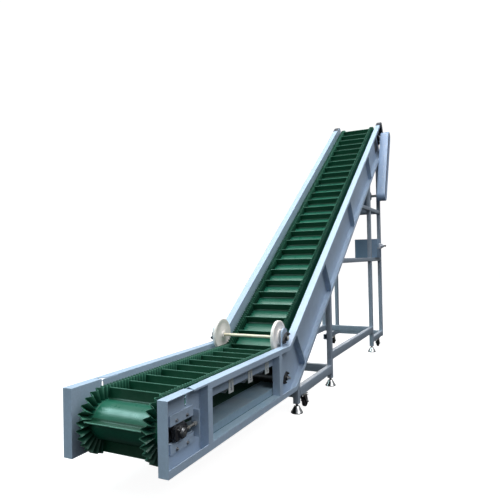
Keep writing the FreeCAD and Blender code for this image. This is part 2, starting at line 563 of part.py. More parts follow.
# ---------------------------------------------------------------- castors
plates = []
for name, x, y, trail in CASTORS:
    top = RAIL1[0] if y < 3000 else RAIL3[0]
    plates.append(fuse([box(x - 30, x + 30, y - 38, y + 38, top - 5, top),
                        cyl((x, y, top - 14), (0, 0, 1), 20, 9)]).cut(cyl((x, y, top - 20), (0, 0, 1), 6.05, 20)))
    wy = y + trail
    zc = top - 19.0
    crown = box(x - 25, x + 25, y - 22, y + 22, zc, zc + 4.5)
    side = poly_yz([(y - 22, zc + 4.5), (y + 22, zc + 4.5), (wy + 12, CASTOR_Z - 4), (wy, CASTOR_Z - 12), (wy - 12, CASTOR_Z - 4)], x + 21.5, x + 25)
    side2 = poly_yz([(y - 22, zc + 4.5), (y + 22, zc + 4.5), (wy + 12, CASTOR_Z - 4), (wy, CASTOR_Z - 12), (wy - 12, CASTOR_Z - 4)], x - 25, x - 21.5)
    pin = cyl((x, y, zc + 4.5), (0, 0, 1), 6, 12.0)
    fork = fuse([crown, side, side2, pin, cyl((x - 27, wy, CASTOR_Z), (1, 0, 0), 5, 54)])
    node("castor_fork_" + name, fork)
    wheel = cyl((x - CASTOR_W / 2, wy, CASTOR_Z), (1, 0, 0), CASTOR_R, CASTOR_W)
    wheel = wheel.cut(cyl((x - 40, wy, CASTOR_Z), (1, 0, 0), 5.05, 80))
    node("castor_wheel_" + name, wheel)
node("castor_plates", plates)

# ---------------------------------------------------------------- drive
MOT_Y, MOT_Z = 5270.0, 2190.0
GUARD_X0, GUARD_X1 = 372.0, 478.0
GUARD_R = 82.0
GUARD_R2 = 78.0


def hull2(x0, x1, p, r, q, r2):
    """The rounded outline of two circles joined by straight sides."""
    dy, dz = q[0] - p[0], q[1] - p[1]
    L = math.hypot(dy, dz)
    base = math.atan2(dz, dy)
    k = math.acos((r - r2) / L)
    pts = []
    for sgn in (1, -1):
        a = base + sgn * k
        pts.append(((p[0] + r * math.cos(a), p[1] + r * math.sin(a)), (q[0] + r2 * math.cos(a), q[1] + r2 * math.sin(a))))
    quad = poly_yz([pts[0][0], pts[0][1], pts[1][1], pts[1][0]], x0, x1)
    return fuse([quad, cyl((x0, p[0], p[1]), (1, 0, 0), r, x1 - x0), cyl((x0, q[0], q[1]), (1, 0, 0), r2, x1 - x0)])


guard = hull2(GUARD_X0, GUARD_X1, (hy, hz), GUARD_R, (MOT_Y, MOT_Z), GUARD_R2)
inner = hull2(GUARD_X0 + 3, GUARD_X1 - 3, (hy, hz), GUARD_R - 3, (MOT_Y, MOT_Z), GUARD_R2 - 3)
guard = guard.cut(inner)
guard = guard.cut([cyl((GUARD_X0 - 5, hy, hz), (1, 0, 0), 30, 12), cyl((GUARD_X0 - 5, MOT_Y, MOT_Z), (1, 0, 0), 24, 12)])
node("chain_guard", guard)
node("drive_mounts", [box(LEG_X + h2, GUARD_X0, 5405, 5440, MOT_Z + 215, MOT_Z + 255),
                      box(-120, 245, 5095, 5365, MOTOR_RAIL[1], MOTOR_RAIL[1] + 10)])
mz0 = MOTOR_RAIL[1] + 10
gb = fuse([box(60, 240, MOT_Y - 95, MOT_Y + 95, mz0, MOT_Z + 105),
           cyl((240, MOT_Y, MOT_Z), (1, 0, 0), 60, 20),
           cyl((260, MOT_Y, MOT_Z), (1, 0, 0), 18, 180),
           cyl((0, MOT_Y, MOT_Z), (1, 0, 0), 92, 60)])
node("gearbox", gb)
mot = fuse([cyl((-295, MOT_Y, MOT_Z), (1, 0, 0), 84, 295), box(-190, -80, MOT_Y - 50, MOT_Y + 50, MOT_Z + 70, MOT_Z + 122)])
node("drive_motor", mot)

# ---------------------------------------------------------------- control box
BX0, BX1, BY0, BY1, BZ0, BZ1 = 72.0, 384.0, 5010.0, 5290.0, BOX_RAIL[1], 1552.0
bx = box(BX0, BX1, BY0, BY1, BZ0, BZ1).cut(box(BX0 + 2.5, BX1 + 1, BY0 + 2.5, BY1 - 2.5, BZ0 + 2.5, BZ1 - 2.5))
hinge = [fuse([cyl((BX1 - 2.0, BY1 + 6.0, z), (0, 0, 1), 5, 46), box(BX1 - 30, BX1 - 2, BY1, BY1 + 4, z, z + 46)])
         for z in (BZ0 + 22, BZ1 - 68)]
node("control_box", fuse([bx] + hinge))
door = fuse([box(BX1 + 1.5, BX1 + 4, BY0, BY1, BZ0, BZ1),
             box(BX1 + 4, BX1 + 14, BY0 + 30, BY0 + 50, BZ0 + 110, BZ0 + 150)])
node("control_box_door", door)
IY, IZ = 5165.0, 1452.0
node("isolator_switch", fuse([box(BX1 + 4, BX1 + 30, IY - 42, IY + 42, IZ - 42, IZ + 42), cyl((BX1 + 30, IY, IZ), (1, 0, 0), 28, 22),
                              cyl((BX1 + 52, IY, IZ), (1, 0, 0), 18, 20), box(BX1 + 60, HANDLE_X, IY - 46, IY + 14, IZ - 9, IZ + 9)]))

# ---------------------------------------------------------------- export
tot = None
for name, shape in NODES.items():
    shape.exportStep("parts/%s.step" % name)
    bb = shape.BoundBox
    if not shape.isValid():
        print("INVALID", name)
    tot = bb if tot is None else tot.united(bb)
    print("%-26s" % name, [round(v, 1) for v in (bb.XMin + ORIGIN_X, bb.YMin + ORIGIN_Y, bb.ZMin, bb.XMax + ORIGIN_X, bb.YMax + ORIGIN_Y, bb.ZMax)], len(shape.Solids))
print(len(NODES), "nodes; box", [round(v, 2) for v in (tot.XMin, tot.YMin, tot.ZMin, tot.XMax, tot.YMax, tot.ZMax)])
vol = sum(s.Volume for s in NODES.values()) / 1e9
print("volume m3", round(vol, 4))
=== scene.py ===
"""Looks of an L-shaped belt conveyor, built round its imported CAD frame.

Working sizes are millimetres: x = 0 on the belt's centre line, y = 0 on the front face of the
tail plates, z = 0 on the floor.  P() turns them into metres in the frame's own axes.
"""
import bpy
import bmesh
import math
from mathutils import Vector, Matrix, noise


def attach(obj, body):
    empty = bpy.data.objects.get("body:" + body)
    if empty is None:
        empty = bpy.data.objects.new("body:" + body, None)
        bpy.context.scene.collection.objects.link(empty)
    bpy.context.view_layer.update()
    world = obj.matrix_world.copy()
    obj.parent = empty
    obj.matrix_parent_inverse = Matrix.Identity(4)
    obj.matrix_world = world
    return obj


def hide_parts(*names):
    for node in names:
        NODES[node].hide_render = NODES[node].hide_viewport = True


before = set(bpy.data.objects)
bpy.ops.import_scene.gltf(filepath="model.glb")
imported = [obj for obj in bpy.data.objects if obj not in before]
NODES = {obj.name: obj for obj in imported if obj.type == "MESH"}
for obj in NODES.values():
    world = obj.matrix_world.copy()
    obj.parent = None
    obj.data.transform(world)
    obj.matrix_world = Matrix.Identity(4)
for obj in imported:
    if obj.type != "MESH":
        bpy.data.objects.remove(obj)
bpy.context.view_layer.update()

# ------------------------------------------------------------------ sizes shared with the CAD
A = math.radians(35.0)
COS, SIN, TAN, HALF = math.cos(A), math.sin(A), math.tan(A), math.tan(A / 2)
KNEE_Y, TOP, BOT = 1695.0, 598.0, 203.0
DEPTH = TOP - BOT
ORIGIN_X, ORIGIN_Y = 52.5, 2924.275339841618
WEB_OUT, FLANGE = 300.0, 360.0
TAIL_Y, TAIL_Z, BELT_R = 165.0, 390.0, 110.0
HEAD_S, D_CARRY = 4685.0, -98.0
CARRY_Z = TAIL_Z + BELT_R
WALL_H, CLEAT_H = 80.0, 68.0
KD_Y, KD_Z, KD_R = 1702.0, 331.5, 45.0
LEG_X, TUBE = 333.0, 50.0
FRONT_Y, MID_Y, R1_Y, R2_Y = 1875.0, 2841.0, 4774.0, 5425.0
LEG_BOT = 80.0
RAIL1, RAIL2, RAIL3 = (132.0, 212.0), (264.0, 344.0), (130.0, 200.0)
BOX_RAIL, MOTOR_RAIL = (1238.0, 1288.0), (1930.0, 1980.0)
PRESS_Y, PRESS_Z = 1670.0, 662.0
MOT_Y, MOT_Z = 5270.0, 2190.0


def P(x, y, z):
    return Vector(((x - ORIGIN_X) / 1000.0, (y - ORIGIN_Y) / 1000.0, z / 1000.0))


def slope(s, d):
    return KNEE_Y + s * COS - d * SIN, TOP + s * SIN + d * COS


def ramp(p):
    """(x, distance up the incline, height off its top edge) to (x, y, z)."""
    y, z = slope(p[1], p[2])
    return (p[0], y, z)


def mirrored(place=None):
    def f(p):
        q = place(p) if place else p
        return (-q[0], q[1], q[2])
    return f


HEAD_Y, HEAD_Z = slope(HEAD_S, D_CARRY - BELT_R)


# ------------------------------------------------------------------ mesh building
class Build:
    """Vertices in working millimetres and faces of one piece."""

    def __init__(self):
        self.v, self.f, self.m, self.w = [], [], [], []

    def add(self, verts, faces, mat=0, place=None, wear=0.0):
        n = len(self.v)
        self.v += [place(p) for p in verts] if place else list(verts)
        self.w += [wear] * len(verts) if isinstance(wear, float) else list(wear)
        for f in faces:
            self.f.append([n + i for i in f])
            self.m.append(mat)


def link(ob):
    bpy.context.scene.collection.objects.link(ob)
    return ob


def make(name, b, mats, body="frame", replaces=(), bevel=0.0, seg=2, smooth=38.0,
         weld=True, limit=28.0):
    me = bpy.data.meshes.new(name)
    me.from_pydata([P(*p) for p in b.v], [], b.f)
    for m in mats:
        me.materials.append(m)
    me.polygons.foreach_set("material_index", b.m)
    if any(b.w):
        at = me.attributes.new("wear", "FLOAT", "POINT")
        at.data.foreach_set("value", b.w)
    bm = bmesh.new()
    bm.from_mesh(me)
    if weld:
        bmesh.ops.remove_doubles(bm, verts=bm.verts, dist=1e-5)
        dead = [f for f in bm.faces if f.calc_area() < 1e-12]
        if dead:
            bmesh.ops.delete(bm, geom=dead, context="FACES")
    bmesh.ops.recalc_face_normals(bm, faces=bm.faces)
    bm.to_mesh(me)
    bm.free()
    return finish_piece(name, me, body, replaces, bevel, seg, smooth, limit)


def finish_piece(name, me, body, replaces, bevel, seg, smooth, limit):
    me.polygons.foreach_set("use_smooth", [True] * len(me.polygons))
    if not bevel:
        me.set_sharp_from_angle(angle=math.radians(smooth))
    me.update()
    ob = link(bpy.data.objects.new(name, me))
    if bevel:
        mod = ob.modifiers.new("edges", "BEVEL")
        mod.width = bevel / 1000.0
        mod.segments = seg
        mod.limit_method = "ANGLE"
        mod.angle_limit = math.radians(limit)
        mod.use_clamp_overlap = False
        mod.harden_normals = True
    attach(ob, body)
    if replaces:
        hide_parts(*replaces)
    return ob


def dress(node, mat, name=None, bevel=1.2, seg=2, body="frame", smooth=38.0, flat=1.0):
    """A new piece from a CAD node's solid: its flat faces made whole, its edges rounded."""
    src = NODES[node].data
    bm = bmesh.new()
    bm.from_mesh(src)
    bmesh.ops.remove_doubles(bm, verts=bm.verts, dist=1e-5)
    bmesh.ops.dissolve_limit(bm, angle_limit=math.radians(flat), verts=bm.verts, edges=bm.edges)
    bmesh.ops.recalc_face_normals(bm, faces=bm.faces)
    bm.verts.index_update()
    co = [v.co.copy() for v in bm.verts]
    fa = [[v.index for v in f.verts] for f in bm.faces]
    bm.free()
    name = name or node + "_finished"
    me = bpy.data.meshes.new(name)
    me.from_pydata(co, [], fa)
    me.materials.append(mat)
    return finish_piece(name, me, body, (node,), bevel, seg, smooth, 28.0)


def box(b, x0, x1, y0, y1, z0, z1, mat=0, place=None, wear=0.0):
    v = [(x, y, z) for x in (x0, x1) for y in (y0, y1) for z in (z0, z1)]
    f = [(0, 1, 3, 2), (4, 6, 7, 5), (0, 4, 5, 1), (2, 3, 7, 6), (0, 2, 6, 4), (1, 5, 7, 3)]
    b.add(v, f, mat, place, wear)


def rbox(b, x0, x1, y0, y1, z0, z1, r=2.0, mat=0, place=None):
    """A box with its twelve edges chamfered twice, so that it needs no modifier."""
    cx, cy, cz = (x0 + x1) / 2, (y0 + y1) / 2, (z0 + z1) / 2
    hx, hy, hz = (x1 - x0) / 2, (y1 - y0) / 2, (z1 - z0) / 2
    r = min(r, hx * 0.98, hy * 0.98, hz * 0.98)
    bm = bmesh.new()
    bmesh.ops.create_cube(bm, size=2.0)
    for v in bm.verts:
        v.co = Vector((v.co.x * hx, v.co.y * hy, v.co.z * hz))
    bmesh.ops.bevel(bm, geom=list(bm.edges), offset=r, segments=3, profile=0.5, affect="EDGES")
    bm.verts.index_update()
    vs = [(v.co.x + cx, v.co.y + cy, v.co.z + cz) for v in bm.verts]
    fs = [[v.index for v in f.verts] for f in bm.faces]
    bm.free()
    b.add(vs, fs, mat, place)


def lathe(b, prof, c, axis="x", n=48, mat=0, place=None, loop=False, phase=0.0, wear=0.0):
    """prof = (along, radius) pairs turned about an axis through c."""
    cx, cy, cz = c
    vs, fs = [], []
    for t, r in prof:
        for i in range(n):
            a = 2 * math.pi * i / n + phase
            u, w = r * math.cos(a), r * math.sin(a)
            if axis == "x":
                vs.append((cx + t, cy + u, cz + w))
            elif axis == "y":
                vs.append((cx + u, cy + t, cz + w))
            else:
                vs.append((cx + u, cy + w, cz + t))
    m = len(prof)
    for j in range(m if loop else m - 1):
        k = (j + 1) % m
        for i in range(n):
            i2 = (i + 1) % n
            fs.append((j * n + i, j * n + i2, k * n + i2, k * n + i))
    b.add(vs, fs, mat, place, wear)


def solid(b, prof, c, axis="x", n=48, mat=0, place=None, phase=0.0):
    """A turned solid: the profile is closed to the axis at both ends."""
    p = list(prof)
    if p[0][1] > 0:
        p = [(p[0][0], 0.0)] + p
    if p[-1][1] > 0:
        p = p + [(p[-1][0], 0.0)]
    lathe(b, p, c, axis, n, mat, place, False, phase)


AX = {"+x": ("x", 1), "-x": ("x", -1), "+y": ("y", 1), "-y": ("y", -1), "+z": ("z", 1), "-z": ("z", -1)}


def bolt(b, p, d="+x", af=19.0, mat=0, place=None, washer=True, stud=0.0, turn=0.3, wmat=None):
    """A hexagon head or nut on a washer; with stud it is a nut on a threaded end."""
    axis, s = AX[d]
    t = 0.0
    if washer:
        R = af * 0.86
        solid(b, [(0.0, R - 0.4), (s * 0.6, R), (s * 1.8, R), (s * 2.4, R - 0.6)], p, axis, 24,
              mat if wmat is None else wmat, place)
        t = 2.2
    R = af / 2 / math.cos(math.pi / 6)
    h = af * 0.62
    solid(b, [(s * t, R * 0.97), (s * (t + 0.5), R), (s * (t + h - 1.2), R), (s * (t + h), R * 0.9)], p, axis, 6, mat, place, turn)
    solid(b, [(s * (t + h - 0.6), af * 0.47), (s * (t + h + 0.5), af * 0.44)], p, axis, 20, mat, place)
    if stud:
        thread(b, s * (t + h), s * (t + h + stud), af * 0.30, p, axis, mat, place, 16)


def thread(b, t0, t1, r, c, axis, mat=0, place=None, n=20, pitch=2.2, depth=0.9):
    """A threaded rod: ridges at the thread's pitch with chamfered ends."""
    s = 1 if t1 > t0 else -1
    L = abs(t1 - t0)
    k = max(2, int(L / pitch))
    prof = [(t0, r - depth)]
    for i in range(k):
        a = t0 + s * L * (i + 0.5) / k
        prof += [(a - s * 0.18 * L / k, r), (a + s * 0.18 * L / k, r), (a + s * 0.5 * L / k, r - depth)]
    prof[-1] = (t1, r - depth - 0.4)
    solid(b, prof, c, axis, n, mat, place)


def frame_of(t):
    up = Vector((0, 0, 1)) if abs(t.z) < 0.9 else Vector((0, 1, 0))
    a = t.cross(up).normalized()
    return a, t.cross(a).normalized()


def bead(b, pts, r=3.0, mat=0, place=None, closed=False, step=4.0, seed=1):
    """A weld bead along a line: a round cord with the ripples of its passes."""
    q = [Vector(place(p) if place else p) for p in pts]
    if closed:
        q.append(q[0].copy())
    line = []
    for i in range(len(q) - 1):
        L = (q[i + 1] - q[i]).length
        k = max(1, int(L / step))
        for j in range(k):
            line.append(q[i].lerp(q[i + 1], j / k))
    if not closed:
        line.append(q[-1])
    n = len(line)
    m = 6
    vs, fs = [], []
    for i, p in enumerate(line):
        a = line[(i - 1) % n] if closed or i else line[0]
        c = line[(i + 1) % n] if closed or i < n - 1 else line[-1]
        t = (c - a)
        t = t.normalized() if t.length > 1e-6 else Vector((0, 0, 1))
        u, w = frame_of(t)
        rr = r * (0.86 + 0.16 * (i % 2) + 0.16 * noise.noise(p * 0.07 + Vector((seed, 0, 0))))
        if not closed and i in (0, n - 1):
            rr *= 0.35
        for j in range(m):
            g = 2 * math.pi * j / m
            vs.append(tuple(p + u * rr * math.cos(g) + w * rr * math.sin(g)))
    for i in range(n if closed else n - 1):
        k = (i + 1) % n
        for j in range(m):
            j2 = (j + 1) % m
            fs.append((i * m + j, i * m + j2, k * m + j2, k * m + j))
    if not closed:
        fs.append(tuple(range(m)))
        fs.append(tuple((n - 1) * m + j for j in reversed(range(m))))
    b.add(vs, fs, mat)


def rrect(w, h, r, k=4):
    pts = []
    for cx, cy, a0 in ((w / 2 - r, h / 2 - r, 0), (-w / 2 + r, h / 2 - r, 90), (-w / 2 + r, -h / 2 + r, 180), (w / 2 - r, -h / 2 + r, 270)):
        for i in range(k + 1):
            a = math.radians(a0 + 90 * i / k)
            pts.append((cx + r * math.cos(a), cy + r * math.sin(a)))
    return pts


def on_axis(axis, u, v, t):
    return {"x": (t, u, v), "y": (u, t, v), "z": (u, v, t)}[axis]


def sq_tube(b, axis, cu, cv, w, h, lo, hi, r=6.0, wall=3.0, mat=0, cap=None):
    """A rounded rectangular tube; lo and hi are numbers or functions of the section point."""
    out = [(cu + u, cv + v) for u, v in rrect(w, h, r)]
    inn = [(cu + u, cv + v) for u, v in rrect(w - 2 * wall, h - 2 * wall, max(r - wall, 1.0))]
    n = len(out)
    L = lo if callable(lo) else (lambda u, v: lo)
    H = hi if callable(hi) else (lambda u, v: hi)
    vs = []
    for ring in (out, inn):
        for e in (L, H):
            vs += [on_axis(axis, u, v, e(u, v)) for u, v in ring]
    fs = []
    for i in range(n):
        j = (i + 1) % n
        fs += [(i, j, n + j, n + i), (2 * n + i, 3 * n + i, 3 * n + j, 2 * n + j),
               (i, 2 * n + i, 2 * n + j, j), (n + i, n + j, 3 * n + j, 3 * n + i)]
    b.add(vs, fs, mat)


def ring_line(axis, cu, cv, w, h, at, r=6.0, grow=0.6):
    e = at if callable(at) else (lambda u, v: at)
    return [on_axis(axis, cu + u, cv + v, e(cu + u, cv + v)) for u, v in rrect(w + 2 * grow, h + 2 * grow, r + grow, 3)]


def plug(b, axis, cu, cv, w, h, at, s, mat=0):
    """A moulded end plug with a domed face in a tube's open end."""
    rings = [(w - 6, h - 6, 3, -6.0), (w - 6, h - 6, 3, 0.0), (w - 0.6, h - 0.6, 5.5, 0.0), (w - 0.6, h - 0.6, 5.5, 2.2), (w - 5, h - 5, 4, 4.0), (w - 16, h - 16, 3, 4.4)]
    vs, fs = [], []
    n = 20
    for ww, hh, r, t in rings:
        vs += [on_axis(axis, cu + u, cv + v, at + s * t) for u, v in rrect(ww, hh, r)]
    for k in range(len(rings) - 1):
        for i in range(n):
            j = (i + 1) % n
            fs.append((k * n + i, k * n + j, (k + 1) * n + j, (k + 1) * n + i))
    fs.append(tuple(range(n)))
    fs.append(tuple((len(rings) - 1) * n + i for i in range(n)))
    b.add(vs, fs, mat)


# ------------------------------------------------------------------ materials
def srgb(r, g, b):
    def f(c):
        c /= 255.0
        return c / 12.92 if c <= 0.04045 else ((c + 0.055) / 1.055) ** 2.4
    return (f(r), f(g), f(b), 1.0)


class Shade:
    """A small helper round one node tree."""

    def __init__(self, name, rough=0.5, metal=0.0, spec=0.5, coat=0.0, coat_rough=0.1, ior=1.45):
        self.mat = bpy.data.materials.new(name)
        self.mat.use_nodes = True
        self.t = self.mat.node_tree
        self.n = self.t.nodes
        self.p = self.n["Principled BSDF"]
        self.p.inputs["Roughness"].default_value = rough
        self.p.inputs["Metallic"].default_value = metal
        self.p.inputs["Specular IOR Level"].default_value = spec
        self.p.inputs["IOR"].default_value = ior
        self.p.inputs["Coat Weight"].default_value = coat
        self.p.inputs["Coat Roughness"].default_value = coat_rough
        self.co = self.node("ShaderNodeTexCoord").outputs["Object"]

    def node(self, kind, **kw):
        n = self.n.new(kind)
        for k, v in kw.items():
            setattr(n, k, v)
        return n

    def wire(self, a, b):
        self.t.links.new(a, b)

    def noise(self, scale, detail=3.0, rough=0.55, stretch=None, distort=0.0):
        n = self.node("ShaderNodeTexNoise")
        n.inputs["Scale"].default_value = scale
        n.inputs["Detail"].default_value = detail
        n.inputs["Roughness"].default_value = rough
        n.inputs["Distortion"].default_value = distort
        src = self.co
        if stretch:
            m = self.node("ShaderNodeMapping")
            m.inputs["Scale"].default_value = stretch
            if len(stretch) == 3:
                self.wire(self.co, m.inputs["Vector"])
            src = m.outputs["Vector"]
        self.wire(src, n.inputs["Vector"])
        return n.outputs["Fac"]

    def ramp(self, fac, lo, hi, a=0.0, b=1.0):
        """Maps fac from lo..hi to a..b, clamped."""
        m = self.node("ShaderNodeMapRange")
        m.inputs["From Min"].default_value = lo
        m.inputs["From Max"].default_value = hi
        m.inputs["To Min"].default_value = a
        m.inputs["To Max"].default_value = b
        self.wire(fac, m.inputs["Value"])
        return m.outputs["Result"]

    def mix(self, fac, a, b):
        m = self.node("ShaderNodeMix", data_type="RGBA")
        for key, v in (("A", a), ("B", b)):
            sock = [i for i in m.inputs if i.name == key and i.type == "RGBA"][0]
            if isinstance(v, tuple):
                sock.default_value = v
            else:
                self.wire(v, sock)
        if isinstance(fac, float):
            m.inputs["Factor"].default_value = fac
        else:
            self.wire(fac, m.inputs["Factor"])
        return [o for o in m.outputs if o.type == "RGBA"][0]

    def mul(self, a, b, op="MULTIPLY"):
        m = self.node("ShaderNodeMath", operation=op)
        for i, v in enumerate((a, b)):
            if isinstance(v, float):
                m.inputs[i].default_value = v
            else:
                self.wire(v, m.inputs[i])
        return m.outputs[0]

    def up(self):
        """How far the surface faces up, -1 to 1."""
        g = self.node("ShaderNodeNewGeometry")
        s = self.node("ShaderNodeSeparateXYZ")
        self.wire(g.outputs["Normal"], s.inputs["Vector"])
        return s.outputs["Z"]

    def edges(self, lo=0.52, hi=0.62):
        g = self.node("ShaderNodeNewGeometry")
        return self.ramp(g.outputs["Pointiness"], lo, hi)

    def attr(self, name):
        a = self.node("ShaderNodeAttribute", attribute_name=name)
        return a.outputs["Fac"]

    def colour(self, c):
        self.wire(c, self.p.inputs["Base Color"])

    def rough(self, r):
        self.wire(r, self.p.inputs["Roughness"])

    def bump(self, h, strength=0.2, dist=0.001, chain=None):
        n = self.node("ShaderNodeBump")
        n.inputs["Strength"].default_value = strength
        n.inputs["Distance"].default_value = dist
        self.wire(h, n.inputs["Height"])
        if chain is not None:
            self.wire(chain, n.inputs["Normal"])
        self.wire(n.outputs["Normal"], self.p.inputs["Normal"])
        return n.outputs["Normal"]


def scaled(c, k):
    return (min(c[0] * k, 1.0), min(c[1] * k, 1.0), min(c[2] * k, 1.0), 1.0)


def paint(name, c, rough=0.38, dirt=0.5, wear=0.5, coat=0.15, peel=0.12):
    """Sprayed machine enamel: cloudy tone, orange peel, dust on what faces up, rubbed edges."""
    s = Shade(name, rough, 0.0, 0.5, coat, 0.25)
    cloud = s.noise(2.3, 4.0, 0.6)
    col = s.mix(s.ramp(cloud, 0.3, 0.7), scaled(c, 0.93), scaled(c, 1.06))
    smear = s.noise(9.0, 5.0, 0.65, (1.0, 1.0, 0.35))
    col = s.mix(s.ramp(smear, 0.56, 0.80, 0.0, 0.22 * dirt), col, scaled((c[0] * 0.78, c[1] * 0.76, c[2] * 0.70), 0.8))
    speck = s.noise(140.0, 2.0, 0.5)
    col = s.mix(s.ramp(speck, 0.70, 0.78, 0.0, 0.45 * dirt), col, (0.16, 0.15, 0.14, 1.0))
    dust = s.mul(s.ramp(s.up(), 0.35, 0.95), s.ramp(s.noise(5.0, 4.0), 0.35, 0.75, 0.0, 0.28 * dirt))
    col = s.mix(dust, col, (0.62, 0.60, 0.56, 1.0))
    rub = s.mul(s.edges(0.505, 0.58), s.ramp(s.noise(60.0, 4.0, 0.7), 0.45, 0.62, 0.0, 0.55 * wear))
    col = s.mix(rub, col, scaled(c, 1.35))
    s.colour(col)
    s.rough(s.ramp(s.noise(14.0, 3.0), 0.3, 0.7, rough - 0.06, rough + 0.10))
    s.bump(s.noise(650.0, 2.0, 0.5), peel, 0.0004)
    return s.mat


def belt_green(name, c, edge, rough=0.30, grain=0.10, coat=0.14, coat_rough=0.22):
    """A smooth moulded belt cover: scuffed, faintly dusty, pale on the edges the wear attribute marks, partly from
    rubbing and partly as a painted highlight of the lit edges.
    """
    s = Shade(name, rough, 0.0, 0.55, coat, coat_rough)
    col = s.mix(s.ramp(s.noise(3.0, 4.0, 0.6), 0.3, 0.7), scaled(c, 0.85), scaled(c, 1.15))
    scuff = s.noise(26.0, 5.0, 0.7, (3.0, 0.6, 0.6))
    col = s.mix(s.ramp(scuff, 0.55, 0.78, 0.0, 0.14), col, scaled(edge, 0.6))
    dust = s.mul(s.ramp(s.up(), 0.2, 1.0), s.ramp(s.noise(7.0, 4.0), 0.4, 0.8, 0.0, 0.08))
    col = s.mix(dust, col, (0.30, 0.38, 0.35, 1.0))
    # pale edge colour where the wear attribute is set: partly rubbing wear, partly a painted highlight on lit top edges
    worn_and_highlit_edges = s.mul(s.attr("wear"), s.ramp(s.noise(45.0, 3.0), 0.25, 0.55, 0.55, 1.0))
    col = s.mix(worn_and_highlit_edges, col, edge)
    s.colour(col)
    s.rough(s.ramp(s.noise(17.0, 4.0), 0.3, 0.7, rough - 0.05, rough + 0.14))
    n = s.bump(s.noise(900.0, 2.0), grain, 0.0003)
    s.bump(s.noise(22.0, 2.0), 0.10, 0.004, n)
    return s.mat


def fabric(name, c):
    """The belt's carcass side: a plain weave of coarse yarns under thin rubber."""
    s = Shade(name, 0.75, 0.0, 0.3)
    sep = s.node("ShaderNodeSeparateXYZ")
    s.wire(s.co, sep.inputs["Vector"])
    wx = s.mul(s.mul(s.mul(sep.outputs["X"], 3900.0), 0.0, "ADD"), 0.0, "SINE")
    wy = s.mul(s.mul(s.mul(sep.outputs["Y"], 3900.0), 0.0, "ADD"), 0.0, "SINE")
    weave = s.mul(wx, wy)
    col = s.mix(s.ramp(weave, -1.0, 1.0, 0.2, 0.8), scaled(c, 0.75), scaled(c, 1.25))
    col = s.mix(s.ramp(s.noise(6.0, 4.0), 0.4, 0.75, 0.0, 0.4), col, scaled(c, 1.7))
    s.colour(col)
    s.bump(weave, 0.35, 0.0004)
    return s.mat


def metal(name, c, rough=0.32, brushed=(1.0, 1.0, 1.0), spots=0.3, tint=None, metallic=1.0):
    """Plated or turned steel: fine tool marks along the given stretch, cloudy plating, spots."""
    s = Shade(name, rough, metallic, 0.5)
    cloud = s.noise(30.0, 4.0, 0.6)
    col = s.mix(s.ramp(cloud, 0.3, 0.7), scaled(c, 0.88), scaled(c, 1.06))
    if tint:
        col = s.mix(s.ramp(s.noise(18.0, 3.0), 0.42, 0.7, 0.0, 0.5), col, tint)
    col = s.mix(s.ramp(s.noise(90.0, 3.0), 0.62, 0.80, 0.0, spots), col, scaled(c, 0.35))
    s.colour(col)
    lines = s.noise(420.0, 3.0, 0.6, brushed)
    s.rough(s.ramp(lines, 0.3, 0.7, rough - 0.08, rough + 0.14))
    s.bump(lines, 0.12, 0.0002)
    return s.mat


def casting(name, c, rough=0.5):
    """Painted grey iron: sand-cast grain under black enamel, metal showing on high spots."""
    s = Shade(name, rough, 0.0, 0.5, 0.1, 0.3)
    col = s.mix(s.ramp(s.noise(20.0, 4.0), 0.3, 0.7), scaled(c, 0.8), scaled(c, 1.3))
    rub = s.mul(s.edges(0.51, 0.60), s.ramp(s.noise(80.0, 3.0), 0.45, 0.6, 0.0, 0.6))
    col = s.mix(rub, col, (0.07, 0.07, 0.075, 1.0))
    s.colour(col)
    s.rough(s.ramp(s.noise(40.0, 3.0), 0.3, 0.7, rough - 0.1, rough + 0.15))
    n = s.bump(s.noise(260.0, 4.0, 0.7), 0.35, 0.0008)
    s.bump(s.noise(60.0, 2.0), 0.15, 0.001, n)
    return s.mat


def plastic(name, c, rough=0.42, grain=0.15, scale=500.0, stain=None, amount=0.25):
    """Moulded or turned plastic with a fine grain and handling marks."""
    s = Shade(name, rough, 0.0, 0.5)
    col = s.mix(s.ramp(s.noise(9.0, 4.0), 0.3, 0.7), scaled(c, 0.94), scaled(c, 1.05))
    if stain:
        col = s.mix(s.ramp(s.noise(22.0, 5.0, 0.7), 0.52, 0.78, 0.0, amount), col, stain)
    s.colour(col)
    s.rough(s.ramp(s.noise(35.0, 3.0), 0.3, 0.7, rough - 0.06, rough + 0.12))
    s.bump(s.noise(scale, 3.0), grain, 0.0003)
    return s.mat


FRAME_C = srgb(170, 190, 212)
BASE_C = srgb(150, 164, 180)
GUARD_C = srgb(150, 175, 207)
BELT_C = srgb(14, 98, 76)
EDGE_C = srgb(110, 158, 140)

frame_paint = paint("frame_enamel", FRAME_C)
base_paint = paint("base_enamel", BASE_C, 0.42, 0.7, 0.6)
guard_paint = paint("guard_enamel", GUARD_C, 0.36)
cover_paint = paint("cover_enamel", srgb(136, 162, 180), 0.45, 0.8)
box_paint = paint("box_powder_coat", srgb(124, 148, 174), 0.5, 0.5, 0.4, 0.0, 0.3)
motor_paint = paint("motor_enamel", srgb(92, 110, 128), 0.4, 0.8)
belt_mat = belt_green("belt_cover", BELT_C, EDGE_C, 0.30, 0.10, 0.75, 0.30)
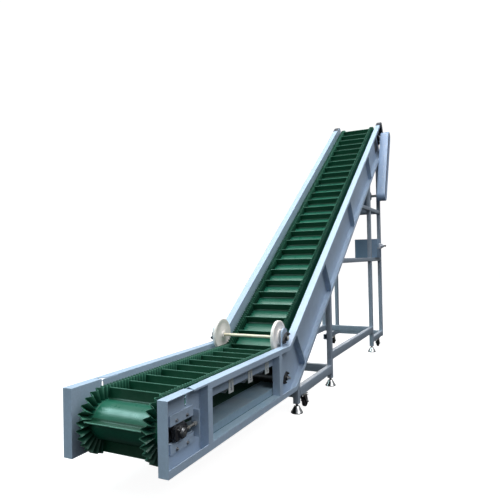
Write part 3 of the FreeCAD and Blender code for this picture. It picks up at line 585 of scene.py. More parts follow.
# sidewall and cleat greens are darker than the belt cover's: painted shade for the walls and cleat faces that stand in
# shadow
wall_mat_shade_darkened = belt_green("sidewall_rubber_painted_shade", srgb(8, 74, 55), srgb(84, 146, 124), 0.42)
cleat_mat_shade_darkened = belt_green("cleat_rubber_painted_shade", srgb(4, 62, 42), srgb(96, 154, 134), 0.40)
belt_back = fabric("belt_carcass", srgb(48, 86, 72))
steel = metal("turned_steel", (0.50, 0.51, 0.52, 1.0), 0.34, (0.05, 1.0, 1.0), 0.3)
roller_mat = metal("roller_tube", (0.42, 0.43, 0.44, 1.0), 0.38, (0.08, 1.0, 1.0), 0.4)
zinc = metal("zinc_plate", (0.62, 0.62, 0.60, 1.0), 0.34, (1.0, 1.0, 1.0), 0.25, (0.60, 0.56, 0.44, 1.0))
chrome = metal("bright_plate", (0.66, 0.67, 0.68, 1.0), 0.16, (1.0, 1.0, 0.2), 0.25)
fork_zinc = metal("fork_zinc", (0.42, 0.42, 0.43, 1.0), 0.40, (1.0, 1.0, 1.0), 0.3)
axle_mat = metal("axle_passivated", (0.86, 0.80, 0.62, 1.0), 0.45, (0.1, 1.0, 1.0), 0.1, (0.90, 0.84, 0.66, 1.0), 0.35)
iron = casting("bearing_casting", (0.010, 0.012, 0.016, 1.0))
nylon = plastic("wheel_nylon", srgb(246, 241, 236), 0.42, 0.1, 420.0, srgb(206, 190, 184), 0.30)
rubber = plastic("castor_rubber", (0.018, 0.018, 0.02, 1.0), 0.6, 0.3, 700.0, (0.10, 0.095, 0.09, 1.0), 0.4)
black_plastic = plastic("black_plastic", (0.02, 0.021, 0.024, 1.0), 0.45, 0.2)
switch_grey = plastic("switch_grey", srgb(196, 204, 214), 0.45, 0.2)
lagging = plastic("drum_lagging", (0.02, 0.02, 0.02, 1.0), 0.7, 0.4, 400.0)

# ------------------------------------------------------------------ the belt's loop
KNEE_FILLET = 150.0
RETURN_A = math.radians(34.476)
KT_R = KD_R + 0.5                                   # inner radius of the belt round the knee drum
HEADC = (HEAD_Y, HEAD_Z)
span = math.hypot(HEAD_Y - KD_Y, HEAD_Z - KD_Z)
gap = BELT_R - KT_R - 6.0
RETURN_A = math.atan2(HEAD_Z - KD_Z, HEAD_Y - KD_Y) - math.asin(gap / span)
RETURN_LEN = math.sqrt(span ** 2 - gap ** 2)

SEGS = []                                           # start, length, kind, y, z, heading, signed radius
_s, _p, _h = 0.0, (TAIL_Y, CARRY_Z), 0.0


def _line(L):
    global _s, _p
    SEGS.append((_s, L, "L", _p[0], _p[1], _h, 0.0))
    _p = (_p[0] + L * math.cos(_h), _p[1] + L * math.sin(_h))
    _s += L


def _arc(R, t):
    """Turn by t (left is positive) on radius R."""
    global _s, _p, _h
    sg = 1 if t > 0 else -1
    cy, cz = _p[0] - sg * R * math.sin(_h), _p[1] + sg * R * math.cos(_h)
    SEGS.append((_s, R * abs(t), "A", cy, cz, _h, sg * R))
    _h += t
    _p = (cy + sg * R * math.sin(_h), cz - sg * R * math.cos(_h))
    _s += R * abs(t)


_t = KNEE_FILLET * HALF
Y_K = KNEE_Y - D_CARRY * HALF
_line(Y_K - _t - TAIL_Y)
_arc(KNEE_FILLET, A)
S_HILL = _s
_line(HEAD_S - D_CARRY * HALF - _t)
S_HEAD = _s
_arc(BELT_R, -(math.pi + A - RETURN_A))
S_BACK = _s
_line(RETURN_LEN)
S_KNEE2 = _s
_arc(KT_R + 6.0, -RETURN_A)
S_FLAT2 = _s
_line(KD_Y - TAIL_Y)
S_TAIL = _s
_arc(BELT_R, -math.pi)
LOOP = _s
print("belt loop", round(LOOP, 1), "closes to", round(_p[0] - TAIL_Y, 3), round(_p[1] - CARRY_Z, 3))


def on_path(s):
    s %= LOOP
    for st, L, kind, a, c, h, R in SEGS:
        if s <= st + L + 1e-9:
            u = s - st
            if kind == "L":
                return a + u * math.cos(h), c + u * math.sin(h), h
            hh = h + u / R
            return a + R * math.sin(hh), c - R * math.cos(hh), hh
    return on_path(0.0)


def off_path(x, s, h):
    y, z, a = on_path(s)
    return (x, y - h * math.sin(a), z + h * math.cos(a))


def stations(straight, per_deg):
    out = []
    for st, L, kind, a, c, h, R in SEGS:
        k = max(1, round(L / straight)) if kind == "L" else max(2, round(math.degrees(L / abs(R)) / per_deg))
        out += [st + L * i / k for i in range(k)]
    return out


# base belt: cover, free edges, the sidewalls' foot strips and the carcass side
b = Build()
SEC = [(-290.0, -5.0), (-290.0, -1.2), (-288.8, 0.0), (-248.0, 0.0), (-246.5, 2.0), (-193.5, 2.0), (-192.0, 0.0),
       (192.0, 0.0), (193.5, 2.0), (246.5, 2.0), (248.0, 0.0), (288.8, 0.0), (290.0, -1.2), (290.0, -5.0), (289.0, -6.0), (-289.0, -6.0)]
ST = stations(45.0, 3.0)
n, m = len(ST), len(SEC)
vs = [off_path(x, s, h) for s in ST for x, h in SEC]
fs, fm = [], []
for i in range(n):
    k = (i + 1) % n
    for j in range(m):
        j2 = (j + 1) % m
        fs.append((i * m + j, i * m + j2, k * m + j2, k * m + j))
        fm.append(1 if j == m - 2 else 0)
b.v, b.f, b.m = vs, fs, fm
# pale free edges of the belt: partly rubbing wear, partly a painted highlight of the lit edge
edge_wear_and_highlight = [0.55 if abs(x) > 288 and h > -2 else 0.0 for x, h in SEC]
b.w = edge_wear_and_highlight * n
make("belt_loop", b, [belt_mat, belt_back], weld=False, smooth=40.0,
     replaces=("belt_infeed_run", "belt_incline_run", "belt_return_infeed", "belt_return_incline", "belt_turns"))


# corrugated sidewalls: one folded ribbon each, all round the loop
def sidewall(side, name, replaces):
    b = Build()
    waves = round(LOOP / 27.0)
    k = 12
    lam = LOOP / waves
    amp, th = 21.5, 1.1
    q = 0.95
    n = waves * k
    rows = ((0.0, th + 0.6), (6.0, th), (WALL_H - 1.4, th), (WALL_H, th * 0.45), (WALL_H, -th * 0.45), (WALL_H - 1.4, -th), (6.0, -th), (0.0, -th - 0.6))
    tab = []
    for i in range(k):
        t = 2 * math.pi * i / k
        w = amp * math.asin(q * math.sin(t)) / math.asin(q)
        dw = amp * q * math.cos(t) / math.sqrt(1 - (q * math.sin(t)) ** 2) / math.asin(q) * 2 * math.pi / lam
        L = math.hypot(1.0, dw)
        tab.append((w, -dw / L, 1.0 / L, abs(math.sin(t))))
    vs, wear = [], []
    for i in range(n):
        w, ns, nx, crest = tab[i % k]
        s = lam * i / k
        for h, o in rows:
            vs.append(off_path(side * (218.0 + w + o * nx), s + o * ns, h))
            # pale tops of the inner crests, faintly all crests: partly rubbing wear, partly a painted highlight of the
            # lit top edge
            inner = max(0.0, (-w / amp - 0.45) / 0.55)
            top = (0.10 + 0.90 * inner) if h > WALL_H - 3 else 0.0
            wear.append(max(top, 0.06 * max(0.0, crest - 0.85) / 0.15))
    m = len(rows)
    fs = []
    for i in range(n):
        c = (i + 1) % n
        for j in range(m - 1):
            fs.append((i * m + j, i * m + j + 1, c * m + j + 1, c * m + j))
    b.add(vs, fs, 0, None, wear)
    make(name, b, [wall_mat_shade_darkened], weld=False, replaces=replaces, smooth=75.0)


sidewall(1, "belt_sidewall_right", ("belt_sidewalls", "belt_sidewall_turns"))
sidewall(-1, "belt_sidewall_left", ())

# cleats: a foot vulcanised to the belt, a tapering blade and a rounded top edge
CLEAT = [(-19.0, 0.0), (-18.0, 2.2), (-8.0, 3.4), (-4.6, 6.0), (-3.3, 11.0), (-2.5, 62.0), (-2.3, 66.4), (-1.2, 68.0),
         (1.2, 68.0), (2.3, 66.4), (2.5, 62.0), (3.3, 11.0), (4.6, 6.0), (8.0, 3.4), (18.0, 2.2), (19.0, 0.0)]


def cleat(b, s):
    n = len(CLEAT)
    xs = [-199.0, -197.5, -100.0, 0.0, 100.0, 197.5, 199.0]
    vs, fs, wear = [], [], []
    for x in xs:
        k = 0.86 if abs(x) > 198 else 1.0
        for a, h in CLEAT:
            vs.append(off_path(x, s + a * k, h))
            # pale top edge of each cleat: partly rubbing wear, partly a painted highlight
            wear.append(0.85 if h > 67 else (0.5 if h > 65 else 0.0))
    for i in range(len(xs) - 1):
        for j in range(n):
            j2 = (j + 1) % n
            fs.append((i * n + j, i * n + j2, (i + 1) * n + j2, (i + 1) * n + j))
    fs.append(tuple(reversed(range(n))))
    fs.append(tuple((len(xs) - 1) * n + j for j in range(n)))
    b.add(vs, fs, 0, None, wear)


carry = [208.0 + i * 170.7 - TAIL_Y for i in range(9)]
for i in range(27):
    c = -2.3 + i * 180.3 - D_CARRY * HALF           # distance beyond the knee's corner
    c = (-2.3 + i * 180.3) - (D_CARRY * HALF)
    carry.append(S_HILL + c - _t if c >= _t else S_HILL - (_t - c) * (KNEE_FILLET * A / 2) / _t)
carry += [S_HEAD + BELT_R * math.radians(93.9)]
carry += [LOOP - BELT_R * math.radians(a) for a in (78.5, 172.4)]
b = Build()
for s in carry:
    cleat(b, s)
make("belt_cleats_carrying", b, [cleat_mat_shade_darkened], replaces=("belt_cleats",), weld=False, smooth=40.0)
b = Build()
for i in range(27):
    cleat(b, S_BACK + RETURN_LEN - (130.0 + i * 180.3))
for i in range(8):
    cleat(b, S_FLAT2 + KD_Y - (331.0 + i * 180.3))
make("belt_cleats_return", b, [cleat_mat_shade_darkened], replaces=("belt_return_cleats",), weld=False, smooth=40.0)

# ------------------------------------------------------------------ side frames
for node in ("tail_plate_right", "tail_plate_left", "infeed_top_chords", "infeed_bottom_chords", "infeed_window_posts",
             "knee_frames", "incline_frame_right", "incline_frame_left"):
    dress(node, frame_paint, bevel=1.5)
# the frame end caps are painted near black: painted shade for the dark ends of the frames
dress("frame_end_caps", paint("end_cap_painted_shade", srgb(44, 52, 62), 0.36, 0.5), bevel=2.0)
for node in ("joint_plates", "channel_ribs", "press_brackets", "drive_mounts", "takeup_brackets"):
    dress(node, frame_paint, bevel=1.2)
dress("return_cover_sheets", cover_paint, bevel=0.8)
dress("frame_cross_ties", frame_paint, bevel=2.0)
dress("roller_brackets", paint("bracket_enamel", srgb(214, 222, 222), 0.42, 0.4), bevel=0.8, seg=1)

# bolts of the knee's joint plates, drawn up from both sides, and the seams of the frame
b = Build()
for mir in (None, 1):
    place = mirrored(ramp) if mir else ramp
    for d in (-48.0, -122.0, -197.0, -272.0, -347.0):
        for x in (320.0, 341.0):
            solid(b, [(0.0, 9.0), (-0.8, 9.4), (-2.4, 8.6), (-3.6, 6.0)], (x, 167.0, d), "y", 18, 1, place)
            bolt(b, (x, 183.0, d), "+y", 15.0, 0, place, True, 3.0, 0.5 + d * 0.013)
make("joint_plate_bolts", b, [zinc, frame_paint], smooth=30.0)

b = Build()
for mir in (None, 1):
    flat = mirrored() if mir else None
    hill = mirrored(ramp) if mir else ramp
    for y in (395.0, 445.0, 1458.0, 1514.0):
        bead(b, [(301.5, y, 213.0), (301.5, y, 588.0)], 2.2, 0, flat, seed=y)
    for y in (397.0, 443.0, 1460.0):
        bead(b, [(303.0, y, 591.5), (354.0, y, 591.5)], 2.2, 0, flat, seed=y + 1)
        bead(b, [(303.0, y, 209.5), (354.0, y, 209.5)], 2.2, 0, flat, seed=y + 2)
    for s in (1188.0, 2440.0, 3680.0):
        for e in (-4.8, 4.8):
            bead(b, [(301.6, s + e, -384.0), (301.6, s + e, -10.0)], 2.4, 0, hill, seed=s + e)
            bead(b, [(303.0, s + e, -6.6), (354.0, s + e, -6.6)], 2.2, 0, hill, seed=s)
            bead(b, [(303.0, s + e, -388.4), (354.0, s + e, -388.4)], 2.2, 0, hill, seed=s)
    for s in (167.0, 183.0):
        bead(b, [(301.6, s, -384.0), (301.6, s, -10.0)], 2.4, 0, hill, seed=s)
    bead(b, [(302.0, 6.5, 212.0), (302.0, 6.5, 588.0)], 2.2, 0, flat, seed=9)
    # tacks across the open joint above the guide plate
    for z in (508.0, 548.0, 584.0):
        bead(b, [(299.5, 240.0, z), (300.5, 250.5, z + 1.0), (299.5, 261.0, z)], 4.2, 0, flat, seed=z)
make("frame_welds", b, [frame_paint], smooth=60.0)

# tail recess: guide plate bolts, strip bolts and the small fixings in the web
b = Build()
for mir in (None, 1):
    place = mirrored() if mir else None
    for z in (TAIL_Z + 64.0, TAIL_Z - 88.0):
        for y in (145.0, 248.0):
            bolt(b, (312.0, y, z), "+x", 12.0, 0, place, True, 0.0, y)
    for z in (TAIL_Z + 58.0, TAIL_Z - 14.0):
        bolt(b, (306.0, 340.0, z), "+x", 10.0, 0, place, True, 0.0, z)
    # plugged holes of the guide plates
    for z in (TAIL_Z + 73.0, TAIL_Z - 75.0):
        for y in (150.0, 262.0):
            solid(b, [(-11.0, 6.3), (0.3, 6.3), (0.9, 5.6)], (312.0, y, z), "x", 18, 1, place)
make("tail_guide_bolts", b, [fork_zinc, frame_paint], smooth=30.0)

# ------------------------------------------------------------------ bearings
def hull(circles, k=40):
    pts = sorted({(round(y + r * math.cos(2 * math.pi * i / k), 4), round(z + r * math.sin(2 * math.pi * i / k), 4))
                  for y, z, r in circles for i in range(k)})

    def half(ps):
        out = []
        for p in ps:
            while len(out) > 1 and (out[-1][0] - out[-2][0]) * (p[1] - out[-2][1]) - (out[-1][1] - out[-2][1]) * (p[0] - out[-2][0]) <= 0:
                out.pop()
            out.append(p)
        return out[:-1]
    return half(pts) + half(pts[::-1])


def stack(b, outline, levels, mat=0, place=None):
    """A plate whose outline (y, z) shrinks by the given inset at each x; insets follow the normals."""
    n = len(outline)
    nor = []
    for i in range(n):
        a, c = outline[i - 1], outline[(i + 1) % n]
        t = Vector((c[0] - a[0], c[1] - a[1])).normalized()
        nor.append((t.y, -t.x))
    vs, fs = [], []
    for x, inset in levels:
        vs += [(x, p[0] - q[0] * inset, p[1] - q[1] * inset) for p, q in zip(outline, nor)]
    for k in range(len(levels) - 1):
        for i in range(n):
            j = (i + 1) % n
            fs.append((k * n + i, k * n + j, (k + 1) * n + j, (k + 1) * n + i))
    fs.append(tuple(reversed(range(n))))
    fs.append(tuple((len(levels) - 1) * n + i for i in range(n)))
    b.add(vs, fs, mat, place)


def flange_unit(b, y, z, r, shaft, x0, tilt, mir=False):
    def place(p):
        c, s = math.cos(tilt), math.sin(tilt)
        q = (x0 + p[0], y + p[1] * c - p[2] * s, z + p[1] * s + p[2] * c)
        return (-q[0], q[1], q[2]) if mir else q
    a = 1.55 * r
    stack(b, hull([(0, 0, r), (0, a, 0.5 * r), (0, -a, 0.5 * r)]), [(0, 0), (10.5, 0.6), (12.8, 1.8), (14.0, 4.0)], 0, place)
    lathe(b, [(12.0, 0.95 * r), (15.0, 0.86 * r), (22.0, 0.77 * r), (27.0, 0.72 * r), (28.5, 0.67 * r), (28.5, 0.58 * r), (25.0, 0.55 * r), (25.0, 0.40 * r)],
          (0, 0, 0), "x", 40, 0, place)
    lathe(b, [(24.5, 0.50 * r), (30.0, 0.48 * r), (31.0, 0.46 * r), (31.0, shaft + 0.1), (24.0, shaft + 0.1)], (0, 0, 0), "x", 32, 1, place)
    for g in (0.6, 2.7):
        c = (27.8, 0.49 * r * math.cos(g), 0.49 * r * math.sin(g))
        solid(b, [(0.0, 2.6), (2.6, 2.6), (3.0, 2.0)], (c[0] - 1, c[1], c[2]), "x", 10, 1, place)
    for e in (a, -a):
        bolt(b, (14.0, 0.0, e), "+x", max(15.0, 0.52 * r), 2, place, True, 4.0, 0.4 + e)
    # grease nipple
    g = (18.0, -0.66 * r, 0.45 * r)
    solid(b, [(0.0, 3.2), (4.0, 3.2), (4.5, 2.2), (8.0, 2.4), (9.5, 1.4)], g, "x", 12, 2, place)


b = Build()
for mir in (False, True):
    flange_unit(b, KD_Y, KD_Z, 27.0, 11.0, WEB_OUT, math.radians(-42.0), mir)
    flange_unit(b, HEAD_Y, HEAD_Z, 48.0, 22.0, WEB_OUT, A, mir)
    flange_unit(b, PRESS_Y, PRESS_Z, 32.0, 13.0, 320.0, math.radians(-58.0), mir)
make("flange_bearing_units", b, [iron, steel, iron], replaces=("flange_bearings",), smooth=35.0)

# take-up bearing units: grooved housings between the guide plates
b = Build()
for mir in (False, True):
    place = mirrored() if mir else None
    out = [(TAIL_Y - 58, TAIL_Z - 28), (TAIL_Y - 46, TAIL_Z - 40), (TAIL_Y + 40, TAIL_Z - 40), (TAIL_Y + 52, TAIL_Z - 26), (TAIL_Y + 52, TAIL_Z + 26),
           (TAIL_Y + 40, TAIL_Z + 40), (TAIL_Y - 46, TAIL_Z + 40), (TAIL_Y - 58, TAIL_Z + 28)]
    stack(b, out, [(304, 1.0), (305, 0), (316, 0), (318, 3.0), (322, 3.0), (324, 0), (329, 0.5), (332, 4)], 0, place)
    lathe(b, [(331.0, 40.0), (335.0, 36.0), (341.0, 34.0), (342.5, 32.0), (342.5, 28.5), (338.5, 27.5), (338.5, 20.0)], (0, TAIL_Y, TAIL_Z), "x", 48, 0, place)
    lathe(b, [(338.0, 26.5), (344.0, 26.0), (345.0, 25.0), (345.0, 20.1), (338.0, 20.1)], (0, TAIL_Y, TAIL_Z), "x", 40, 1, place)
    for g in (0.9, 3.0):
        solid(b, [(0.0, 2.8), (2.4, 2.8), (3.0, 2.2)], (340.0, TAIL_Y + 25.6 * math.cos(g), TAIL_Z + 25.6 * math.sin(g)), "x", 10, 2, place)
    solid(b, [(0.0, 4.0), (5.0, 4.0), (5.5, 2.8), (10.0, 3.0), (12.0, 1.8)], (331.0, TAIL_Y - 38, TAIL_Z + 22), "x", 12, 2, place)
    rbox(b, 306, 330, TAIL_Y + 50, TAIL_Y + 58, TAIL_Z - 17, TAIL_Z + 17, 3.0, 0, place)
make("takeup_bearing_units", b, [iron, steel, zinc], replaces=("takeup_bearings",), smooth=35.0)

b = Build()
for mir in (False, True):
    place = mirrored() if mir else None
    thread(b, TAIL_Y + 50, TAIL_Y + 164, 8.0, (324.0, 0.0, TAIL_Z), "y", 0, place, 24)
    for y in (TAIL_Y + 60.0, 290.0, 304.0):
        bolt(b, (324.0, y, TAIL_Z), "+y", 24.0, 0, place, False, 0.0, y)
make("takeup_screw_sets", b, [zinc], replaces=("takeup_screws",), smooth=30.0)


# ------------------------------------------------------------------ drums, rollers, shafts
def drum(name, node, y, z, r, half, shaft_r, x0, x1, mat):
    b = Build()
    prof = [(-half, shaft_r), (-half, r * 0.55), (-half + 3, r * 0.60), (-half + 3, r - 9), (-half, r - 7), (-half, r - 1.0), (-half + 1.2, r)]
    prof += [(-half * 0.33, r), (half * 0.33, r)]
    prof += [(-a, q) for a, q in reversed(prof[:7])]
    lathe(b, prof, (0, y, z), "x", 96, 0)
    solid(b, [(x0, 4.0), (x0, shaft_r - 1.5), (x0 + 1.5, shaft_r), (x1 - 1.5, shaft_r), (x1, shaft_r - 1.5), (x1, 4.0), (x1 - 4.0, 0.0)], (0, y, z), "x", 40, 1)
    make(name, b, [mat, steel], replaces=(node,), smooth=35.0)


drum("tail_drum_turned", "tail_drum", TAIL_Y, TAIL_Z, 103.5, 280, 20, -352, 352, steel)
drum("head_drum_turned", "head_drum", HEAD_Y, HEAD_Z, 103.5, 280, 22, -352, 440, lagging)
drum("knee_drum_turned", "knee_drum", KD_Y, KD_Z, 45.0, 284, 11, -350, 350, steel)

b = Build()
ROLL = [(-262, 8.5), (-262, 14), (-260, 16), (-259, 24), (-262, 26), (-262, 28), (-261, 29), (0, 29), (261, 29), (262, 28), (262, 26), (259, 24), (260, 16), (262, 14), (262, 8.5)]
AXLE = [(-288, 6.8), (-286.8, 8), (286.8, 8), (288, 6.8)]
for y in (776.0, 1060.0, 1344.0):
    c = (0, y, CARRY_Z - 6.6 - 29.0)
    lathe(b, ROLL, c, "x", 36)
    solid(b, [(-309, 6.8), (-307.8, 8), (307.8, 8), (309, 6.8)], c, "x", 16, 1)
for i in range(15):
    c = (0, 330.0 + 290.0 * i, D_CARRY - 6.6 - 29.0)
    lathe(b, ROLL, c, "x", 36, 0, ramp)
    solid(b, AXLE, c, "x", 16, 1, ramp)
make("carrying_roller_set", b, [roller_mat, steel], replaces=("carrying_rollers",), smooth=35.0)

# ------------------------------------------------------------------ press wheels
WHEEL = [(236, 13.1), (236, 27), (238, 30), (248, 30.5), (248, 52), (249.2, 54), (249.4, 116), (248.3, 118), (248, 120), (248, 129), (249.0, 133.0),
         (251.6, 135.8), (255, 137), (262, 137.2), (269, 137), (272.4, 135.8), (275.0, 133.0), (276, 129), (276, 120), (275.6, 118), (274.8, 116),
         (274.8, 70), (276.0, 67.5), (284, 66.0), (287, 64.6), (288, 62), (288, 44), (287, 41), (285.5, 39.5), (285.5, 26), (286.5, 24), (287.5, 21), (287.5, 13.1)]
b = Build()
for mir in (False, True):
    place = mirrored() if mir else None
    lathe(b, WHEEL, (0, PRESS_Y, PRESS_Z), "x", 96, 0, place, True)
make("press_wheel_pair", b, [nylon], body="press_wheels_and_axle", replaces=("press_wheels",), smooth=32.0)
b = Build()
solid(b, [(-352, 11), (-350.5, 13), (-292, 13), (-291.5, 12), (-290.2, 12), (-289.7, 13), (0, 13), (289.7, 13), (290.2, 12), (291.5, 12), (292, 13), (350.5, 13), (352, 11)],
      (0, PRESS_Y, PRESS_Z), "x", 32)
for x in (-292.5, 292.5):
    s = 1 if x > 0 else -1
    lathe(b, [(x, 13.2), (x, 19.0), (x + s * 1.0, 20.0), (x + s * 10.0, 20.0), (x + s * 11.0, 19.0), (x + s * 11.0, 13.2)], (0, PRESS_Y, PRESS_Z), "x", 32, 1)
make("press_axle_turned", b, [axle_mat, zinc], body="press_wheels_and_axle", replaces=("press_axle",), smooth=32.0)


# ------------------------------------------------------------------ base frame
def under(y):
    return TOP + (y - KNEE_Y) * TAN - DEPTH / COS


def y_under(z):
    return KNEE_Y + (z - TOP + DEPTH / COS) / TAN


welds = Build()
h2 = TUBE / 2


def leg(b, x, y, z0):
    sq_tube(b, "z", x, y, TUBE, TUBE, z0, lambda u, v: under(v) - 0.2)
    bead(welds, ring_line("z", x, y, TUBE, TUBE, lambda u, v: under(v) - 1.0), 3.2, 0, None, True, seed=y + x)


def rail_y(b, y0, y1, zz, x, lo=None, w0=True, w1=True):
    zc, hh = (zz[0] + zz[1]) / 2, zz[1] - zz[0]
    sq_tube(b, "y", x, zc, TUBE, hh, lo if lo else y0, y1)
    if w0:
        bead(welds, ring_line("y", x, zc, TUBE, hh, (lambda u, v: lo(u, v) + 1.0) if lo else y0 + 1.0), 3.0, 0, None, True, seed=y0 + x)
    if w1:
        bead(welds, ring_line("y", x, zc, TUBE, hh, y1 - 1.0), 3.0, 0, None, True, seed=y1 + x)


def rail_x(b, y, zz):
    zc, hh, half = (zz[0] + zz[1]) / 2, zz[1] - zz[0], LEG_X - h2
    sq_tube(b, "x", y, zc, TUBE, hh, -half, half)
    for s in (-1, 1):
        bead(welds, ring_line("x", y, zc, TUBE, hh, s * (half - 1.0)), 3.0, 0, None, True, seed=y + s)


for name, spec, node in (
        ("front_leg_tubes", [(LEG_X, FRONT_Y, LEG_BOT), (-LEG_X, FRONT_Y, LEG_BOT)], "front_legs"),
        ("mid_leg_tubes", [(LEG_X, MID_Y, LEG_BOT), (-LEG_X, MID_Y, LEG_BOT)], "mid_legs"),
        ("rear_post_tubes", [(LEG_X, R1_Y, LEG_BOT), (-LEG_X, R1_Y, RAIL2[0]), (LEG_X, R2_Y, RAIL3[0]), (-LEG_X, R2_Y, RAIL3[0])], "rear_posts")):
    b = Build()
    for x, y, z0 in spec:
        leg(b, x, y, z0)
    make(name, b, [base_paint], replaces=(node,), smooth=40.0)

b = Build()
for x in (LEG_X, -LEG_X):
    rail_y(b, FRONT_Y + h2, MID_Y - h2, RAIL1, x)
    rail_y(b, MID_Y + h2, R1_Y - h2, RAIL2, x)
    rail_y(b, R1_Y + h2, R2_Y - h2, RAIL3, x)
make("lower_rail_tubes", b, [base_paint], replaces=("lower_side_rails",), smooth=40.0)
b = Build()
for y, zz in ((FRONT_Y, RAIL1), (MID_Y, RAIL1), (R1_Y, RAIL2), (R2_Y, RAIL3)):
    rail_x(b, y, zz)
make("base_cross_tubes", b, [base_paint], replaces=("base_cross_rails",), smooth=40.0)
b = Build()
for x in (LEG_X, -LEG_X):
    for zz in (BOX_RAIL, MOTOR_RAIL):
        rail_y(b, 0, R1_Y - h2, zz, x, lambda u, v: y_under(v) + 0.2)
        rail_y(b, R1_Y + h2, R2_Y - h2, zz, x)
make("upper_rail_tubes", b, [base_paint], replaces=("upper_side_rails",), smooth=40.0)
b = Build()
rail_x(b, 5160.0, BOX_RAIL)
rail_x(b, 5120.0, MOTOR_RAIL)
rail_x(b, 5340.0, MOTOR_RAIL)
make("upper_cross_tubes", b, [base_paint], replaces=("upper_cross_rails",), smooth=40.0)
make("base_welds", welds, [base_paint], smooth=60.0)

b = Build()
for x, y, z0 in ((LEG_X, R2_Y, RAIL3[0]), (-LEG_X, R2_Y, RAIL3[0]), (-LEG_X, R1_Y, RAIL2[0])):
    plug(b, "z", x, y, TUBE, TUBE, z0, -1)
make("tube_end_plugs", b, [black_plastic], smooth=35.0)

# levelling feet: rubber pad, pressed plate, threaded stem, a lock nut and a square plug in the leg's end
b = Build()
for x, y in ((LEG_X, FRONT_Y), (-LEG_X, FRONT_Y), (LEG_X, MID_Y), (-LEG_X, MID_Y), (LEG_X, R1_Y)):
    solid(b, [(0.0, 46.0), (0.3, 49.5), (2.8, 51.0), (3.4, 50.0)], (x, y, 0), "z", 48, 1)
    solid(b, [(3.0, 50.6), (3.8, 52.0), (8.0, 52.0), (9.6, 51.2), (12.0, 49.0), (22.0, 43.2), (34.0, 36.6), (46.0, 29.8), (55.0, 24.6), (59.0, 22.0), (62.0, 19.0), (63.6, 15.0), (64.0, 11.0)],
          (x, y, 0), "z", 56, 0)
    thread(b, 63.0, LEG_BOT + 2, 9.4, (x, y, 0), "z", 0, None, 20, 2.4)
    bolt(b, (x, y, 65.0), "+z", 21.0, 0, None, False, 0.0, 0.5 + y)
    plug_r = [(LEG_BOT - 0.5, 21.8), (LEG_BOT + 12, 21.8)]
    solid(b, plug_r, (x, y, 0), "z", 4, 1, None, math.pi / 4)
make("levelling_foot_set", b, [chrome, rubber], replaces=("levelling_feet",), smooth=32.0)

# ------------------------------------------------------------------ castors
CASTORS = [("front_right", 339.0, 2022.0), ("front_left", -339.0, 2022.0), ("rear_right", 328.0, 5165.0), ("rear_left", -328.0, 5165.0)]
b = Build()
for nm, x, y in CASTORS:
    top = RAIL1[0] if y < 3000 else RAIL3[0]
    rbox(b, x - 30, x + 30, y - 38, y + 38, top - 5, top, 1.2)
    for sx in (-1, 1):
        for sy in (-1, 1):
            bolt(b, (x + sx * 21, y + sy * 29, top - 5), "-z", 9.0, 0, None, False, 0.0, sx + sy)
    lathe(b, [(top - 5, 21.5), (top - 7, 22.0), (top - 12, 22.0), (top - 14, 20.5), (top - 14, 6.1), (top - 5, 6.1)], (x, y, 0), "z", 36, 0)
make("castor_plate_set", b, [zinc], replaces=("castor_plates",), smooth=32.0)


